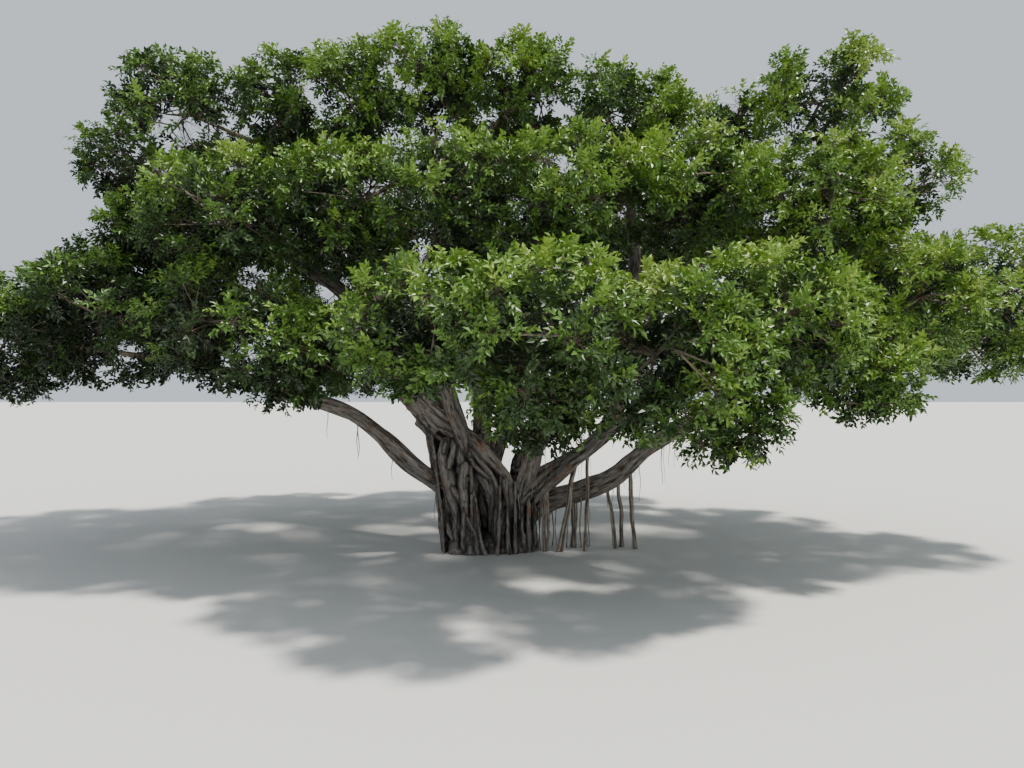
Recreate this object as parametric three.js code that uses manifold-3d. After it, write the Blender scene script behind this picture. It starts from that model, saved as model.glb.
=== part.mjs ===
// A mature banyan tree, rooted in the ground and wider than it is tall: a fluted trunk of stems and aerial
// roots grown together, thirteen boughs, prop roots that stand under two of them, and a broad crown of
// foliage masses. Millimetres, +Z up. The origin is at the centre of the trunk's flat cut at ground level,
// +X is to the right of somebody who faces the tree, and +Y is away from them.
import * as THREE from "three";
import { mergeVertices } from "three/addons/utils/BufferGeometryUtils.js";
import Module from "manifold-3d";

const wasm = await Module();
wasm.setup();

// Driving dimensions of the whole tree.
const SEAT_GAP = 0.45; // clearance between a piece and the piece that carries it
const MASS_FLATNESS = 0.78; // height of a foliage mass over its width
const MASS_MARGIN = 30; // half of the least space between two neighbouring masses
const CORE_SHARE = 0.78; // size of a dense mass's core over the mass
const CORE_ROUGHNESS = 0.16; // how far the core's surface wanders in and out

// How finely each kind of piece is cut into faces: round it and along it.
const LIMB_FACES = { sides: 7, steps: 4 };
const STEM_FACES = { sides: 9, steps: 3 };
const BASE_FACES = { sides: 16, steps: 2 };
const PROP_FACES = { sides: 5, steps: 2 };
const SHOOT_FACES = { sides: 3, steps: 3 };
const CORE_FACES = { sides: 6, steps: 5 };

// A mass's own stem, its twigs and its leaves. A leaf stands for a whole spray, so it is larger than life.
const SHOOT_RADII = [54, 40];
const SHOOT_LEAD = 450; // how far a stem runs straight on from the bough's tip
const SHOOT_SEAT_SHARE = 0.56; // distance of a stem's seat from the tip's centre, over the tip's radius
const TWIG_RADII = [44, 24];
const TWIG_REACH = 0.88; // where a twig ends, over the way from the centre to the mass's surface
const LEAF_REACH = 0.97; // the same for a leaf's tip
const LEAF_ROOT_AT = 0.66; // where a leaf leaves its twig, over the twig's length
const LEAF_SPREAD = 0.6; // angle between a twig and its leaves' tips, seen from the centre, in radians
const LEAF_WIDTH_SHARE = 0.6; // width over length
const LEAF_THICKNESS_SHARE = 0.06; // thickness over length
const LEAF_WIDEST_AT = 0.45; // how far along its length a leaf is widest
const CROWDED_SHARE = 0.8; // a twig with less room than this share of the reach isn't grown
const NUDGE = 0.25; // how far the seed moves a twig away from an even spread
const DENSE_GROWTH = { twigs: 5, leaves: 2 };
const OPEN_GROWTH = { twigs: 7, leaves: 2 }; // a mass that the sky shows through has no core

// The trunk's stems stand on the ground. foot and head are the centres of a stem's ends, radii are their
// radii, flare is how much wider the foot is than that, and turn sets where its flutes run.
const FLARE_FADES_BY = 0.16; // share of the height
const FLUTE_DEPTH = 0.1;
const FLUTES = 3;
const TRUNK_STEMS = [
  { foot: [-690, -150, 0], head: [-900, -120, 2650], radii: [330, 330], flare: 0.35, turn: 0.1 },
  { foot: [-420, -420, 0], head: [-640, -180, 2100], radii: [210, 240], flare: 0.5, turn: 0.5 },
  { foot: [230, -330, 0], head: [330, -60, 1350], radii: [190, 250], flare: 0.45, turn: 0.2 },
  { foot: [540, -300, 0], head: [520, -40, 1250], radii: [170, 230], flare: 0.45, turn: 0.7 },
  { foot: [790, -150, 0], head: [860, 40, 1300], radii: [150, 210], flare: 0.5, turn: 0.3 },
  { foot: [-220, 480, 0], head: [-260, 420, 2700], radii: [340, 270], flare: 0.35, turn: 0.9 },
  { foot: [520, 470, 0], head: [780, 560, 2250], radii: [330, 260], flare: 0.35, turn: 0.4 },
];

// The plate of roots that the stems have grown together into at the ground.
const FUSED_BASE = { centre: [-60, 60], radii: [920, 640], height: 430, topShare: 0.72 };
const BASE_LOBES = { count: 5, depth: 0.08 };

// Great limbs of the trunk itself, from inside its stems to the fork where a bough takes over.
const TRUNK_LIMBS = [
  {
    route: [
      [330, 0, 300],
      [230, -20, 1300],
      [-420, -60, 2250],
      [-1000, -90, 2700],
      [-1560, -100, 3160],
    ],
    radii: [360, 305],
  },
  {
    route: [
      [420, -30, 700],
      [700, -60, 1250],
      [1080, -90, 1600],
      [1400, -100, 1860],
    ],
    radii: [230, 190],
  },
  {
    route: [
      [560, 200, 500],
      [860, 240, 860],
      [1240, 260, 1060],
    ],
    radii: [300, 270],
  },
  {
    route: [
      [-420, 100, 1500],
      [-900, 120, 2450],
      [-1080, 200, 3000],
    ],
    radii: [260, 225],
  },
];

// The boughs. A route runs from inside the trunk to the tip, where the stems of its masses start.
const BOUGHS = [
  {
    name: "left_low_bough",
    route: [
      [-820, -120, 1330],
      [-1860, -200, 1960],
      [-2670, -300, 2700],
      [-3600, -420, 3300],
      [-6150, -900, 4150],
    ],
    radii: [215, 130],
  },
  {
    name: "great_left_bough",
    route: [
      [-1440, -98, 3060],
      [-2050, -150, 3700],
      [-3150, -250, 5650],
      [-4600, -300, 6750],
    ],
    radii: [285, 160],
  },
  {
    name: "high_left_bough",
    route: [
      [-1060, 190, 2900],
      [-1400, 420, 4200],
      [-2600, 700, 7000],
      [-4250, 800, 8850],
    ],
    radii: [215, 140],
  },
  {
    name: "crown_bough",
    route: [
      [-260, 420, 2550],
      [-330, 560, 4500],
      [-900, 500, 7000],
      [-500, 350, 9050],
    ],
    radii: [240, 145],
  },
  {
    name: "centre_right_bough",
    route: [
      [1300, -97, 1790],
      [2100, -100, 2250],
      [2900, 60, 3300],
      [3350, 300, 5600],
      [3300, 300, 7700],
    ],
    radii: [180, 120],
  },
  {
    name: "right_high_bough",
    route: [
      [830, 560, 2120],
      [1700, 760, 3500],
      [4200, 900, 6100],
      [6550, 500, 8350],
    ],
    radii: [230, 140],
  },
  {
    name: "right_low_bough",
    route: [
      [1120, 258, 1010],
      [2630, 200, 1560],
      [3860, 60, 2420],
      [6500, -350, 4250],
    ],
    radii: [255, 148],
  },
  {
    name: "front_left_bough",
    route: [
      [-560, -150, 2150],
      [-900, -900, 3500],
      [-1250, -2500, 5450],
    ],
    radii: [190, 125],
  },
  {
    name: "front_right_bough",
    route: [
      [520, -60, 1150],
      [1150, -950, 2600],
      [1950, -2900, 4550],
    ],
    radii: [185, 125],
  },
  {
    name: "right_front_bough",
    route: [
      [930, 60, 1150],
      [2500, -900, 2700],
      [4050, -2150, 3650],
    ],
    radii: [165, 110],
  },
  {
    name: "back_left_bough",
    route: [
      [-330, 430, 2250],
      [-1700, 1800, 3500],
      [-4150, 3900, 5750],
    ],
    radii: [215, 150],
  },
  {
    name: "back_bough",
    route: [
      [20, 520, 1900],
      [250, 1900, 3100],
      [100, 4500, 5650],
    ],
    radii: [215, 150],
  },
  {
    name: "back_right_bough",
    route: [
      [760, 560, 1850],
      [1900, 1900, 3300],
      [4250, 3850, 5750],
    ],
    radii: [215, 150],
  },
];

// Prop roots: aerial roots that have reached the ground, each from inside its bough down to a flat foot.
const PROP_ROOTS = [
  { name: "prop_root_1", head: [1950, -110, 2160], foot: [1540, -260, 0], radius: 62 },
  { name: "prop_root_2", head: [2210, -90, 2330], foot: [2120, -230, 0], radius: 38 },
  { name: "prop_root_3", head: [1900, 235, 1290], foot: [1890, 180, 0], radius: 60 },
  { name: "prop_root_4", head: [2680, 190, 1590], foot: [2860, 60, 0], radius: 42 },
  { name: "prop_root_5", head: [2950, 180, 1780], foot: [3040, 250, 0], radius: 46 },
  { name: "prop_root_6", head: [3200, 150, 1930], foot: [3290, 20, 0], radius: 52 },
  { name: "prop_root_7", head: [1180, -90, 1660], foot: [1210, -260, 0], radius: 40 },
];
const PROP_FLARE = 1.5; // foot radius over the radius higher up

// The foliage masses: bough that carries each, centre, and reach from the centre to the side.
const MASSES = [
  { name: "left_wing_tip", bough: "left_low_bough", centre: [-11250, 0, 4900], reach: 2170 },
  { name: "left_wing_root", bough: "left_low_bough", centre: [-8500, -600, 5300], reach: 2250 },
  { name: "left_skirt", bough: "left_low_bough", centre: [-5200, -2200, 5000], reach: 1980 },
  { name: "upper_left_belly", bough: "great_left_bough", centre: [-5300, -2000, 7170], reach: 2050 },
  { name: "upper_left_inner", bough: "great_left_bough", centre: [-7500, -400, 7200], reach: 1550 },
  { name: "upper_left_edge", bough: "great_left_bough", centre: [-8250, 0, 8950], reach: 1600 },
  { name: "upper_left_dome", bough: "high_left_bough", centre: [-7350, 600, 10350], reach: 1980 },
  { name: "upper_left_shoulder", bough: "high_left_bough", centre: [-5350, 800, 10520], reach: 1900 },
  { name: "top_left", bough: "high_left_bough", centre: [-3300, 600, 10680], reach: 1850 },
  { name: "top_crest", bough: "crown_bough", centre: [-1500, 400, 10980], reach: 1870 },
  { name: "top_middle", bough: "crown_bough", centre: [800, 400, 10800], reach: 1840 },
  { name: "mid_left", bough: "crown_bough", centre: [-3000, -1600, 7450], reach: 2080 },
  { name: "top_right", bough: "centre_right_bough", centre: [2700, 500, 10300], reach: 1780 },
  { name: "top_right_knob", bough: "centre_right_bough", centre: [3850, 1200, 10720], reach: 1400 },
  { name: "right_mid_belly", bough: "centre_right_bough", centre: [4200, -1600, 7800], reach: 1940 },
  { name: "right_saddle", bough: "right_high_bough", centre: [5850, 800, 9950], reach: 1600, open: true },
  { name: "right_leader", bough: "right_high_bough", centre: [7850, 500, 10550], reach: 2020, open: true },
  { name: "right_edge", bough: "right_high_bough", centre: [9500, 500, 8750], reach: 1900, open: true },
  { name: "right_upper_belly", bough: "right_high_bough", centre: [6900, -1200, 7600], reach: 2160 },
  { name: "right_wing_tip", bough: "right_low_bough", centre: [11300, -100, 5600], reach: 2500 },
  { name: "right_wing_root", bough: "right_low_bough", centre: [8900, -1200, 5600], reach: 2120 },
  { name: "right_low", bough: "right_low_bough", centre: [7400, -2600, 4000], reach: 1510 },
  { name: "left_hollow", bough: "front_left_bough", centre: [-3700, -2800, 4300], reach: 1600 },
  { name: "front_left", bough: "front_left_bough", centre: [-950, -4800, 4700], reach: 1800 },
  { name: "mid_centre", bough: "front_left_bough", centre: [-700, -2200, 7500], reach: 2080 },
  { name: "mid_right", bough: "front_right_bough", centre: [1700, -2200, 7500], reach: 2080 },
  { name: "front_centre", bough: "front_right_bough", centre: [900, -5900, 4450], reach: 2000 },
  { name: "front_mid_right", bough: "front_right_bough", centre: [2750, -5200, 4200], reach: 2050 },
  { name: "front_low", bough: "front_right_bough", centre: [1000, -4200, 3500], reach: 1450 },
  { name: "front_right", bough: "right_front_bough", centre: [5000, -4000, 4900], reach: 1980 },
  { name: "front_right_hang", bough: "right_front_bough", centre: [3850, -5000, 3250], reach: 1320 },
  { name: "back_left", bough: "back_left_bough", centre: [-9000, 3100, 6400], reach: 3000 },
  { name: "back_skirt_left", bough: "back_left_bough", centre: [-4700, 6700, 5700], reach: 3000 },
  { name: "back_top_left", bough: "back_left_bough", centre: [-4900, 3700, 8800], reach: 3000 },
  { name: "back_skirt_middle", bough: "back_bough", centre: [200, 7300, 5900], reach: 3000 },
  { name: "back_top_middle", bough: "back_bough", centre: [0, 4200, 9200], reach: 2950 },
  { name: "back_right", bough: "back_right_bough", centre: [9100, 3100, 6400], reach: 3000 },
  { name: "back_skirt_right", bough: "back_right_bough", centre: [4900, 6700, 5700], reach: 3000 },
  { name: "back_top_right", bough: "back_right_bough", centre: [5000, 3700, 8700], reach: 3000 },
];

// Finishes of bark and leaves, as colours of the real surfaces.
const BARK = { color: 0x6b6258, roughness: 0.92, metalness: 0 };
const ROOT_BARK = { color: 0x7d756b, roughness: 0.9, metalness: 0 };
const FOLIAGE = { color: 0x3f6b22, roughness: 0.55, metalness: 0 };

const vector = (point) => new THREE.Vector3(...point);

// A linear congruential sequence of numbers from 0 to 1, so that the same seed always grows the same mass.
const LCG = { factor: 1664525, step: 1013904223, range: 2 ** 32, seedFactor: 7919, seedStep: 17 };
function sequence(seed) {
  let state = (seed * LCG.seedFactor + LCG.seedStep) >>> 0;
  return () => {
    state = (Math.imul(state, LCG.factor) + LCG.step) >>> 0;
    return state / LCG.range;
  };
}

// A closed three.js geometry with each of its corners there once.
function merged(geometry) {
  geometry.deleteAttribute("normal");
  geometry.deleteAttribute("uv");
  return mergeVertices(geometry, 1e-3);
}

// A closed three.js geometry as a solid.
function solidOf(geometry) {
  const closed = merged(geometry);
  return new wasm.Manifold(
    new wasm.Mesh({
      numProp: 3,
      vertProperties: closed.attributes.position.array,
      triVerts: new Uint32Array(closed.index.array),
    }),
  );
}

// A solid as a three.js geometry.
function geometryOf(solid) {
  const mesh = solid.getMesh();
  const positions = new Float32Array(mesh.numVert * 3);
  for (let i = 0; i < mesh.numVert; i++) {
    positions.set(mesh.vertProperties.subarray(i * mesh.numProp, i * mesh.numProp + 3), i * 3);
  }
  return new THREE.BufferGeometry()
    .setAttribute("position", new THREE.BufferAttribute(positions, 3))
    .setIndex(new THREE.BufferAttribute(mesh.triVerts, 1));
}

const joined = (solids) => solids.reduce((sum, solid) => sum.add(solid));

// The largest body of a solid: what a cut leaves loose is dropped.
function largest(solid) {
  const bodies = solid.decompose();
  return bodies.reduce((a, b) => (b.volume() > a.volume() ? b : a));
}

// A cylinder bent into shape: place(angle, share of the length, share of the radius) gives each point.
function bent({ sides, steps }, place) {
  const geometry = new THREE.CylinderGeometry(1, 1, 1, sides, steps);
  const position = geometry.attributes.position;
  for (let i = 0; i < position.count; i++) {
    const x = position.getX(i);
    const z = position.getZ(i);
    const along = position.getY(i) + 0.5;
    const point = place(Math.atan2(x, z), along, Math.hypot(x, z));
    position.setXYZ(i, point.x, point.y, point.z);
  }
  return solidOf(geometry);
}

const curveOf = (route) => new THREE.CatmullRomCurve3(route.map(vector), false, "centripetal");

// A limb that tapers along a smooth curve through its route. grow makes it larger all round, for cutting.
function limb({ route, radii }, grow = 0, faces = LIMB_FACES) {
  const curve = curveOf(route);
  const { steps } = faces;
  const frames = curve.computeFrenetFrames(steps, false);
  return bent(faces, (angle, along, share) => {
    const step = Math.round(along * steps);
    const radius = THREE.MathUtils.lerp(radii[0], radii[1], along) + grow;
    const end = step === 0 ? -grow : step === steps ? grow : 0;
    return curve
      .getPointAt(along)
      .addScaledVector(frames.tangents[step], end)
      .addScaledVector(frames.normals[step], Math.cos(angle) * radius * share)
      .addScaledVector(frames.binormals[step], Math.sin(angle) * radius * share);
  });
}

// A point of a level ring round the way from a foot to a head.
function levelPoint(foot, head, along, angle, radius) {
  const outwards = new THREE.Vector3(Math.sin(angle) * radius, -Math.cos(angle) * radius, 0);
  return vector(foot).lerp(vector(head), along).add(outwards);
}

// A stem that stands on the ground: level rings, a flared foot and shallow flutes.
function standingStem({ foot, head, radii, flare, turn }, grow = 0) {
  return bent(STEM_FACES, (angle, along, share) => {
    const widened = 1 + flare * Math.exp(-along / FLARE_FADES_BY);
    const fluted = 1 + FLUTE_DEPTH * Math.cos(FLUTES * (angle + turn) + along);
    const radius = share * (THREE.MathUtils.lerp(radii[0], radii[1], along) * widened * fluted + grow);
    const top = along === 1 ? grow : 0;
    return levelPoint(foot, head, along, angle + turn, radius).add(new THREE.Vector3(0, 0, top));
  });
}

// The plate of grown-together roots at the trunk's foot, with a flat underside.
function fusedBase(grow = 0) {
  const { centre, radii, height, topShare } = FUSED_BASE;
  return bent(BASE_FACES, (angle, along, share) => {
    const lobed = 1 + BASE_LOBES.depth * Math.cos(BASE_LOBES.count * angle);
    const shrunk = THREE.MathUtils.lerp(1, topShare, along) * lobed;
    return new THREE.Vector3(
      centre[0] + Math.sin(angle) * share * (radii[0] * shrunk + grow),
      centre[1] - Math.cos(angle) * share * (radii[1] * shrunk + grow),
      along * (height + grow),
    );
  });
}

function trunkSolid(grow = 0) {
  return joined([
    fusedBase(grow),
    ...TRUNK_STEMS.map((stem) => standingStem(stem, grow)),
    ...TRUNK_LIMBS.map((piece) => limb(piece, grow)),
  ]);
}

// A prop root has level rings too, so that its foot is flat on the ground.
function propRoot({ head, foot, radius }, grow = 0) {
  return bent(PROP_FACES, (angle, along, share) => {
    const widened = (along === 0 ? radius * PROP_FLARE : radius) + grow;
    return levelPoint(foot, head, along, angle, widened * share);
  });
}

// A bough's end: its centre, the way it points, and its radius.
function tipOf({ route, radii }) {
  return { point: vector(route.at(-1)), way: curveOf(route).getTangentAt(1), radius: radii[1] };
}

// The plane between a mass and each neighbour, where both are equally near once their reaches are counted,
// in a space where the masses are round. A point p is on this mass's side while p . normal < offset.
const rounded = (point) => new THREE.Vector3(point.x, point.y, point.z / MASS_FLATNESS);
function fences(mass) {
  const own = rounded(vector(mass.centre));
  return MASSES.filter((other) => other !== mass).map((other) => {
    const across = rounded(vector(other.centre)).sub(own);
    const away = across.length();
    const normal = across.divideScalar(away);
    const share = (away * away + mass.reach ** 2 - other.reach ** 2) / (2 * away);
    return { normal, offset: share - MASS_MARGIN / MASS_FLATNESS };
  });
}

// How far a mass reaches from its centre in a direction of the rounded space.
function reachAlong(mass, walls, direction) {
  return walls.reduce((least, { normal, offset }) => {
    const towards = normal.dot(direction);
    return towards > 1e-6 ? Math.min(least, offset / towards) : least;
  }, mass.reach);
}

// The point at a distance from a mass's centre along a direction of the rounded space.
function pointAlong(mass, direction, distance) {
  return new THREE.Vector3(direction.x, direction.y, direction.z * MASS_FLATNESS)
    .multiplyScalar(distance)
    .add(vector(mass.centre));
}

// Directions spread evenly over a sphere by the golden angle, each nudged a little by the seed.
const GOLDEN_ANGLE = Math.PI * (3 - Math.sqrt(5));
function spread(count, random) {
  return Array.from({ length: count }, (_, k) => {
    const height = 1 - (2 * (k + 0.5)) / count;
    const turn = GOLDEN_ANGLE * k + NUDGE * Math.PI * (random() - 0.5);
    const flat = Math.sqrt(1 - height * height);
    const lifted = height + NUDGE * (random() - 0.5);
    return new THREE.Vector3(Math.cos(turn) * flat, Math.sin(turn) * flat, lifted).normalize();
  });
}

// A straight three-sided twig.
function twig(from, to, radius, tipRadius) {
  const way = to.clone().sub(from);
  const middle = from.clone().addScaledVector(way, 0.5);
  const geometry = new THREE.CylinderGeometry(tipRadius, radius, way.length(), 3, 1);
  const alongY = new THREE.Vector3(0, 1, 0);
  geometry.applyQuaternion(new THREE.Quaternion().setFromUnitVectors(alongY, way.normalize()));
  return solidOf(geometry.translate(middle.x, middle.y, middle.z));
}

// A leaf of eight faces: an octahedron drawn out from its root to its tip, its flat side facing outwards.
function leaf(root, tip, outwards) {
  const way = tip.clone().sub(root);
  const length = way.length();
  way.normalize();
  const side = new THREE.Vector3().crossVectors(outwards, way).normalize();
  const up = new THREE.Vector3().crossVectors(way, side);
  const geometry = new THREE.OctahedronGeometry(1, 0);
  const position = geometry.attributes.position;
  for (let i = 0; i < position.count; i++) {
    const end = position.getX(i);
    const along = end > 0.5 ? 1 : end < -0.5 ? 0 : LEAF_WIDEST_AT;
    const point = root
      .clone()
      .addScaledVector(way, length * along)
      .addScaledVector(side, (length / 2) * LEAF_WIDTH_SHARE * position.getY(i))
      .addScaledVector(up, (length / 2) * LEAF_THICKNESS_SHARE * position.getZ(i));
    position.setXYZ(i, point.x, point.y, point.z);
  }
  return solidOf(geometry);
}

// Whether every vertex of a convex piece lies in a mass's own space, which is convex too, so all of it does.
function keepsInside(mass, walls, solid) {
  const position = geometryOf(solid).attributes.position;
  const own = rounded(vector(mass.centre));
  for (let i = 0; i < position.count; i++) {
    const point = rounded(new THREE.Vector3().fromBufferAttribute(position, i)).sub(own);
    const isOut = point.length() > mass.reach || walls.some((wall) => point.dot(wall.normal) > wall.offset);
    if (isOut) return false;
  }
  return true;
}

// The core that a dense mass's twigs and leaves stand out of. It stops short of the neighbouring masses.
function core(mass, walls, random) {
  const ball = merged(new THREE.SphereGeometry(1, CORE_FACES.sides, CORE_FACES.steps));
  const position = ball.attributes.position;
  for (let i = 0; i < position.count; i++) {
    const direction = new THREE.Vector3().fromBufferAttribute(position, i).normalize();
    const wanted = mass.reach * CORE_SHARE * (1 + CORE_ROUGHNESS * (2 * random() - 1));
    const point = pointAlong(mass, direction, Math.min(wanted, reachAlong(mass, walls, direction)));
    position.setXYZ(i, point.x, point.y, point.z);
  }
  return solidOf(ball);
}

// The shoots that leave a bough's tip, one for each mass that it carries. Each starts at a seat of its own on
// the tip's flat end, in the order in which the shoots turn away from it, so that they never cross.
function shootsOf(bough) {
  const { point, way, radius } = tipOf(bough);
  const side = new THREE.Vector3().crossVectors(way, new THREE.Vector3(0, 0, 1)).normalize();
  const up = new THREE.Vector3().crossVectors(side, way);
  const carried = MASSES.filter((mass) => mass.bough === bough.name).map((mass) => {
    const towards = vector(mass.centre).sub(point);
    return { mass, angle: Math.atan2(towards.dot(up), towards.dot(side)) };
  });
  carried.sort((a, b) => a.angle - b.angle);
  const pitch = (2 * Math.PI) / carried.length;
  const first = carried.reduce((sum, { angle }, k) => sum + angle - k * pitch, 0) / carried.length;
  return carried.map(({ mass }, k) => {
    const angle = first + k * pitch;
    const seat = point
      .clone()
      .addScaledVector(side, Math.cos(angle) * radius * SHOOT_SEAT_SHARE)
      .addScaledVector(up, Math.sin(angle) * radius * SHOOT_SEAT_SHARE);
    const lead = seat.clone().addScaledVector(way, SHOOT_LEAD);
    return { mass, route: [seat.toArray(), lead.toArray(), mass.centre] };
  });
}

// A mass's own stem, from its seat on the bough's tip to the mass's centre.
function shootSolid({ route }, grow = 0) {
  return limb({ route, radii: SHOOT_RADII }, grow, SHOOT_FACES);
}

// One mass of foliage: its stem, twigs that fan out from its centre, and leaves that reach its surface.
// A twig or leaf that would leave the mass's space or touch a limb is skipped.
function massSolid(shoot, obstacles, seed) {
  const { mass } = shoot;
  const walls = fences(mass);
  const random = sequence(seed);
  const centre = vector(mass.centre);
  const isClear = (solid) => keepsInside(mass, walls, solid) && solid.intersect(obstacles).isEmpty();
  const growth = mass.open ? OPEN_GROWTH : DENSE_GROWTH;
  const pieces = mass.open ? [] : [core(mass, walls, random)];
  for (const direction of spread(growth.twigs, random)) {
    const room = reachAlong(mass, walls, direction);
    const end = pointAlong(mass, direction, room * TWIG_REACH);
    const branch = twig(centre, end, ...TWIG_RADII);
    const firstTurn = random() * 2 * Math.PI;
    if (room < mass.reach * CROWDED_SHARE || !isClear(branch)) continue;
    pieces.push(branch);
    const across = new THREE.Vector3(0, 0, 1).cross(direction).normalize();
    for (let k = 0; k < growth.leaves; k++) {
      const axis = across.clone().applyAxisAngle(direction, firstTurn + (k * 2 * Math.PI) / growth.leaves);
      const aim = direction.clone().applyAxisAngle(axis, LEAF_SPREAD);
      const tip = pointAlong(mass, aim, reachAlong(mass, walls, aim) * LEAF_REACH);
      const blade = leaf(centre.clone().lerp(end, LEAF_ROOT_AT), tip, end.clone().sub(centre));
      if (isClear(blade)) pieces.push(blade);
    }
  }
  return largest(joined([...pieces, shootSolid(shoot)]).subtract(obstacles));
}

// A solid as a named mesh with its finish.
function piece(name, solid, finish) {
  const mesh = new THREE.Mesh(geometryOf(solid), new THREE.MeshStandardMaterial(finish));
  mesh.name = name;
  return mesh;
}

// The whole tree. Each piece is cut clear of the wood that was there before it.
function buildTree() {
  const tree = new THREE.Group();
  tree.add(piece("trunk", largest(trunkSolid()), BARK));
  let wood = trunkSolid(SEAT_GAP);
  for (const bough of BOUGHS) {
    tree.add(piece(bough.name, largest(limb(bough).subtract(wood)), BARK));
    wood = wood.add(limb(bough, SEAT_GAP));
  }
  for (const root of PROP_ROOTS) {
    tree.add(piece(root.name, largest(propRoot(root).subtract(wood)), ROOT_BARK));
    wood = wood.add(propRoot(root, SEAT_GAP));
  }
  const shoots = BOUGHS.flatMap(shootsOf);
  shoots.forEach((shoot, index) => {
    const others = shoots.filter((other) => other !== shoot).map((other) => shootSolid(other, SEAT_GAP));
    const obstacles = joined([wood, ...others]);
    tree.add(piece(shoot.mass.name, massSolid(shoot, obstacles, index + 1), FOLIAGE));
  });
  return tree;
}

export default buildTree();
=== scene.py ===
"""A mature banyan tree: fused trunk and boughs, aerial roots, twigs and leaves, grown round the frame."""

import logging
import math
from dataclasses import dataclass, field
from enum import Enum
from typing import Sequence

import bpy
import numpy as np
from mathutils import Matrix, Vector


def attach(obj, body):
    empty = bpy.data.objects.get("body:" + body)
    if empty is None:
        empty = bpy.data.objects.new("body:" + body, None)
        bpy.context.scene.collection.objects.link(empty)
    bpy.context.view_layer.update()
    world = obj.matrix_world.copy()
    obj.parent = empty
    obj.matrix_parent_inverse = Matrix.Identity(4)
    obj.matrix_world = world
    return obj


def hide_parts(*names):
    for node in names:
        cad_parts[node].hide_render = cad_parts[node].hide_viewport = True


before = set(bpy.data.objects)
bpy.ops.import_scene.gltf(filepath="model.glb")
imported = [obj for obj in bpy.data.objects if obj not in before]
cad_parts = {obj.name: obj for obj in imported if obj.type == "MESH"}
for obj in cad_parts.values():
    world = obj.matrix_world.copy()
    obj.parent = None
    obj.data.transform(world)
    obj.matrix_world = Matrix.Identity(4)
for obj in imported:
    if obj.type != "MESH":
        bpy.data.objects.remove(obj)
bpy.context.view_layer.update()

Array = np.ndarray
Random = np.random.Generator
Surface = tuple[Array, Array]  # points, n by 3, and faces as rows of point numbers, all facing outwards
Strands = tuple[Array, Array, int]  # paths, the radii at their samples, and how many sides a ring has

LOG = logging.getLogger("banyan")
BODY = "root"
FULL_TURN = 2 * math.pi
GOLDEN_ANGLE = math.pi * (3 - math.sqrt(5))
UP = np.array([0.0, 0.0, 1.0])

# How the crown is laid out, as in the source: heights are flattened, and masses keep clear of each other.
MASS_FLATNESS = 0.78
FLATTEN = np.array([1, 1, MASS_FLATNESS])
UNFLATTEN = np.array([1, 1, 1 / MASS_FLATNESS])
MASS_MARGIN = 0.03  # metres that a mass keeps back from a plane that it shares
CORE_DRAWS = 26  # numbers that the source draws for a dense mass's core, before it draws the twigs
NUDGE = 0.25  # how far an even direction may be lifted, or turned in half turns
SHOOT_LEAD = 0.45  # metres that a mass's stem first goes on in its bough's way
SHOOT_SEAT_SHARE = 0.56  # where the stems are seated, in shares of the tip's radius from its middle
TIP_SAMPLES = 400  # samples of a bough's line, of which the last two give the way in which it ends
MAIN_TWIG_SHARE = 0.66  # how much of a mass's room its own twigs take
LEAF_ROOM = 0.985  # how near to the mass's surface the finest twigs and leaves reach
CLUMP_FLATNESS = 0.72  # a clump of sprays is lower than wide, so that the crown grows in tiers
BURIED_SHARE = 0.8  # a clump nearer than this share of another mass's reach to its centre isn't grown
LEAF_OVERLAP = 0.3  # how far sprays of neighbouring masses reach in among each other, in metres

MAX_LEAVES_A_PIECE = 95000
MAX_TWIG_FACES_A_PIECE = 180000

# How limbs run and are sampled, in metres where nothing else is said.
ROUTE_SAMPLES = 40  # samples between two points of a route
LENGTH_SAMPLES = 200  # samples that a bough's length is measured by
STEEP = 0.8  # a path that rises by more than this share of its span takes the X axis for its frames
TRUNK_LEAD = 0.35  # how far a bough's line starts inside the trunk
COLLAR_STEP = 0.05  # between samples of a bough's line within its collar
BELOW_GROUND = 0.03  # how far feet start below the ground, at which they are levelled
FLARE_SPAN = 0.07  # share of a stem's length by which its foot's flare has mostly faded

# How strands go with the limb that they run along: waves in radians a metre, sizes in radians or in shares.
WANDER_WAVE, WANDER = 1.9, 0.34
THICKNESS_WAVE, THICKNESS_SWING = 3.1, 0.16
DEPTH_WAVE, DEPTH_SWING = 2.3, 0.07
START_SWING = 0.3  # how far strands start from even places, in shares of the angle between them
FLUTE_FLOOR, FLUTE_SPAN = 0.74, 0.3  # where flutes start and how high ridges stand, in shares of the radius; the bark paints shade in the flutes
STRAND_SHIFT = 0.37  # metres across from one strand's bark pattern to the next

RIPPLES = 30  # waves that make up a smooth random value
GAP_EDGE = (1.05, 0.13)  # the mean and spread of a sky gap's edge, in its half sizes


class Habit(Enum):
    """How closely a mass of foliage is filled, with the number of twigs that leave its middle."""

    DENSE = 5
    OPEN = 7


@dataclass(frozen=True)
class Mass:
    """A mass of foliage: its bough, its centre and its reach from the centre to the side, in metres."""

    name: str
    bough: str
    centre: tuple[float, float, float]
    reach: float
    habit: Habit = Habit.DENSE


@dataclass(frozen=True)
class Limb:
    """A tapering limb: the points that it runs through and the radii of its two ends, in metres."""

    name: str
    route: tuple[tuple[float, float, float], ...]
    radii: tuple[float, float]


@dataclass(frozen=True)
class Stem:
    """A stem or root that stands on the ground: the centres of its foot and head, its radii and its flare."""

    name: str
    foot: tuple[float, float, float]
    head: tuple[float, float, float]
    radii: tuple[float, float]
    flare: float


@dataclass(frozen=True)
class SkyGap:
    """A gap in the crown as seen from the front: its middle and half sizes in the trunk's upright plane.

    The share is how many of the sprays in it are left out. Its twigs stay and show against the sky.
    """

    x: float
    z: float
    half_width: float
    half_height: float
    share: float = 0.92


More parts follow.
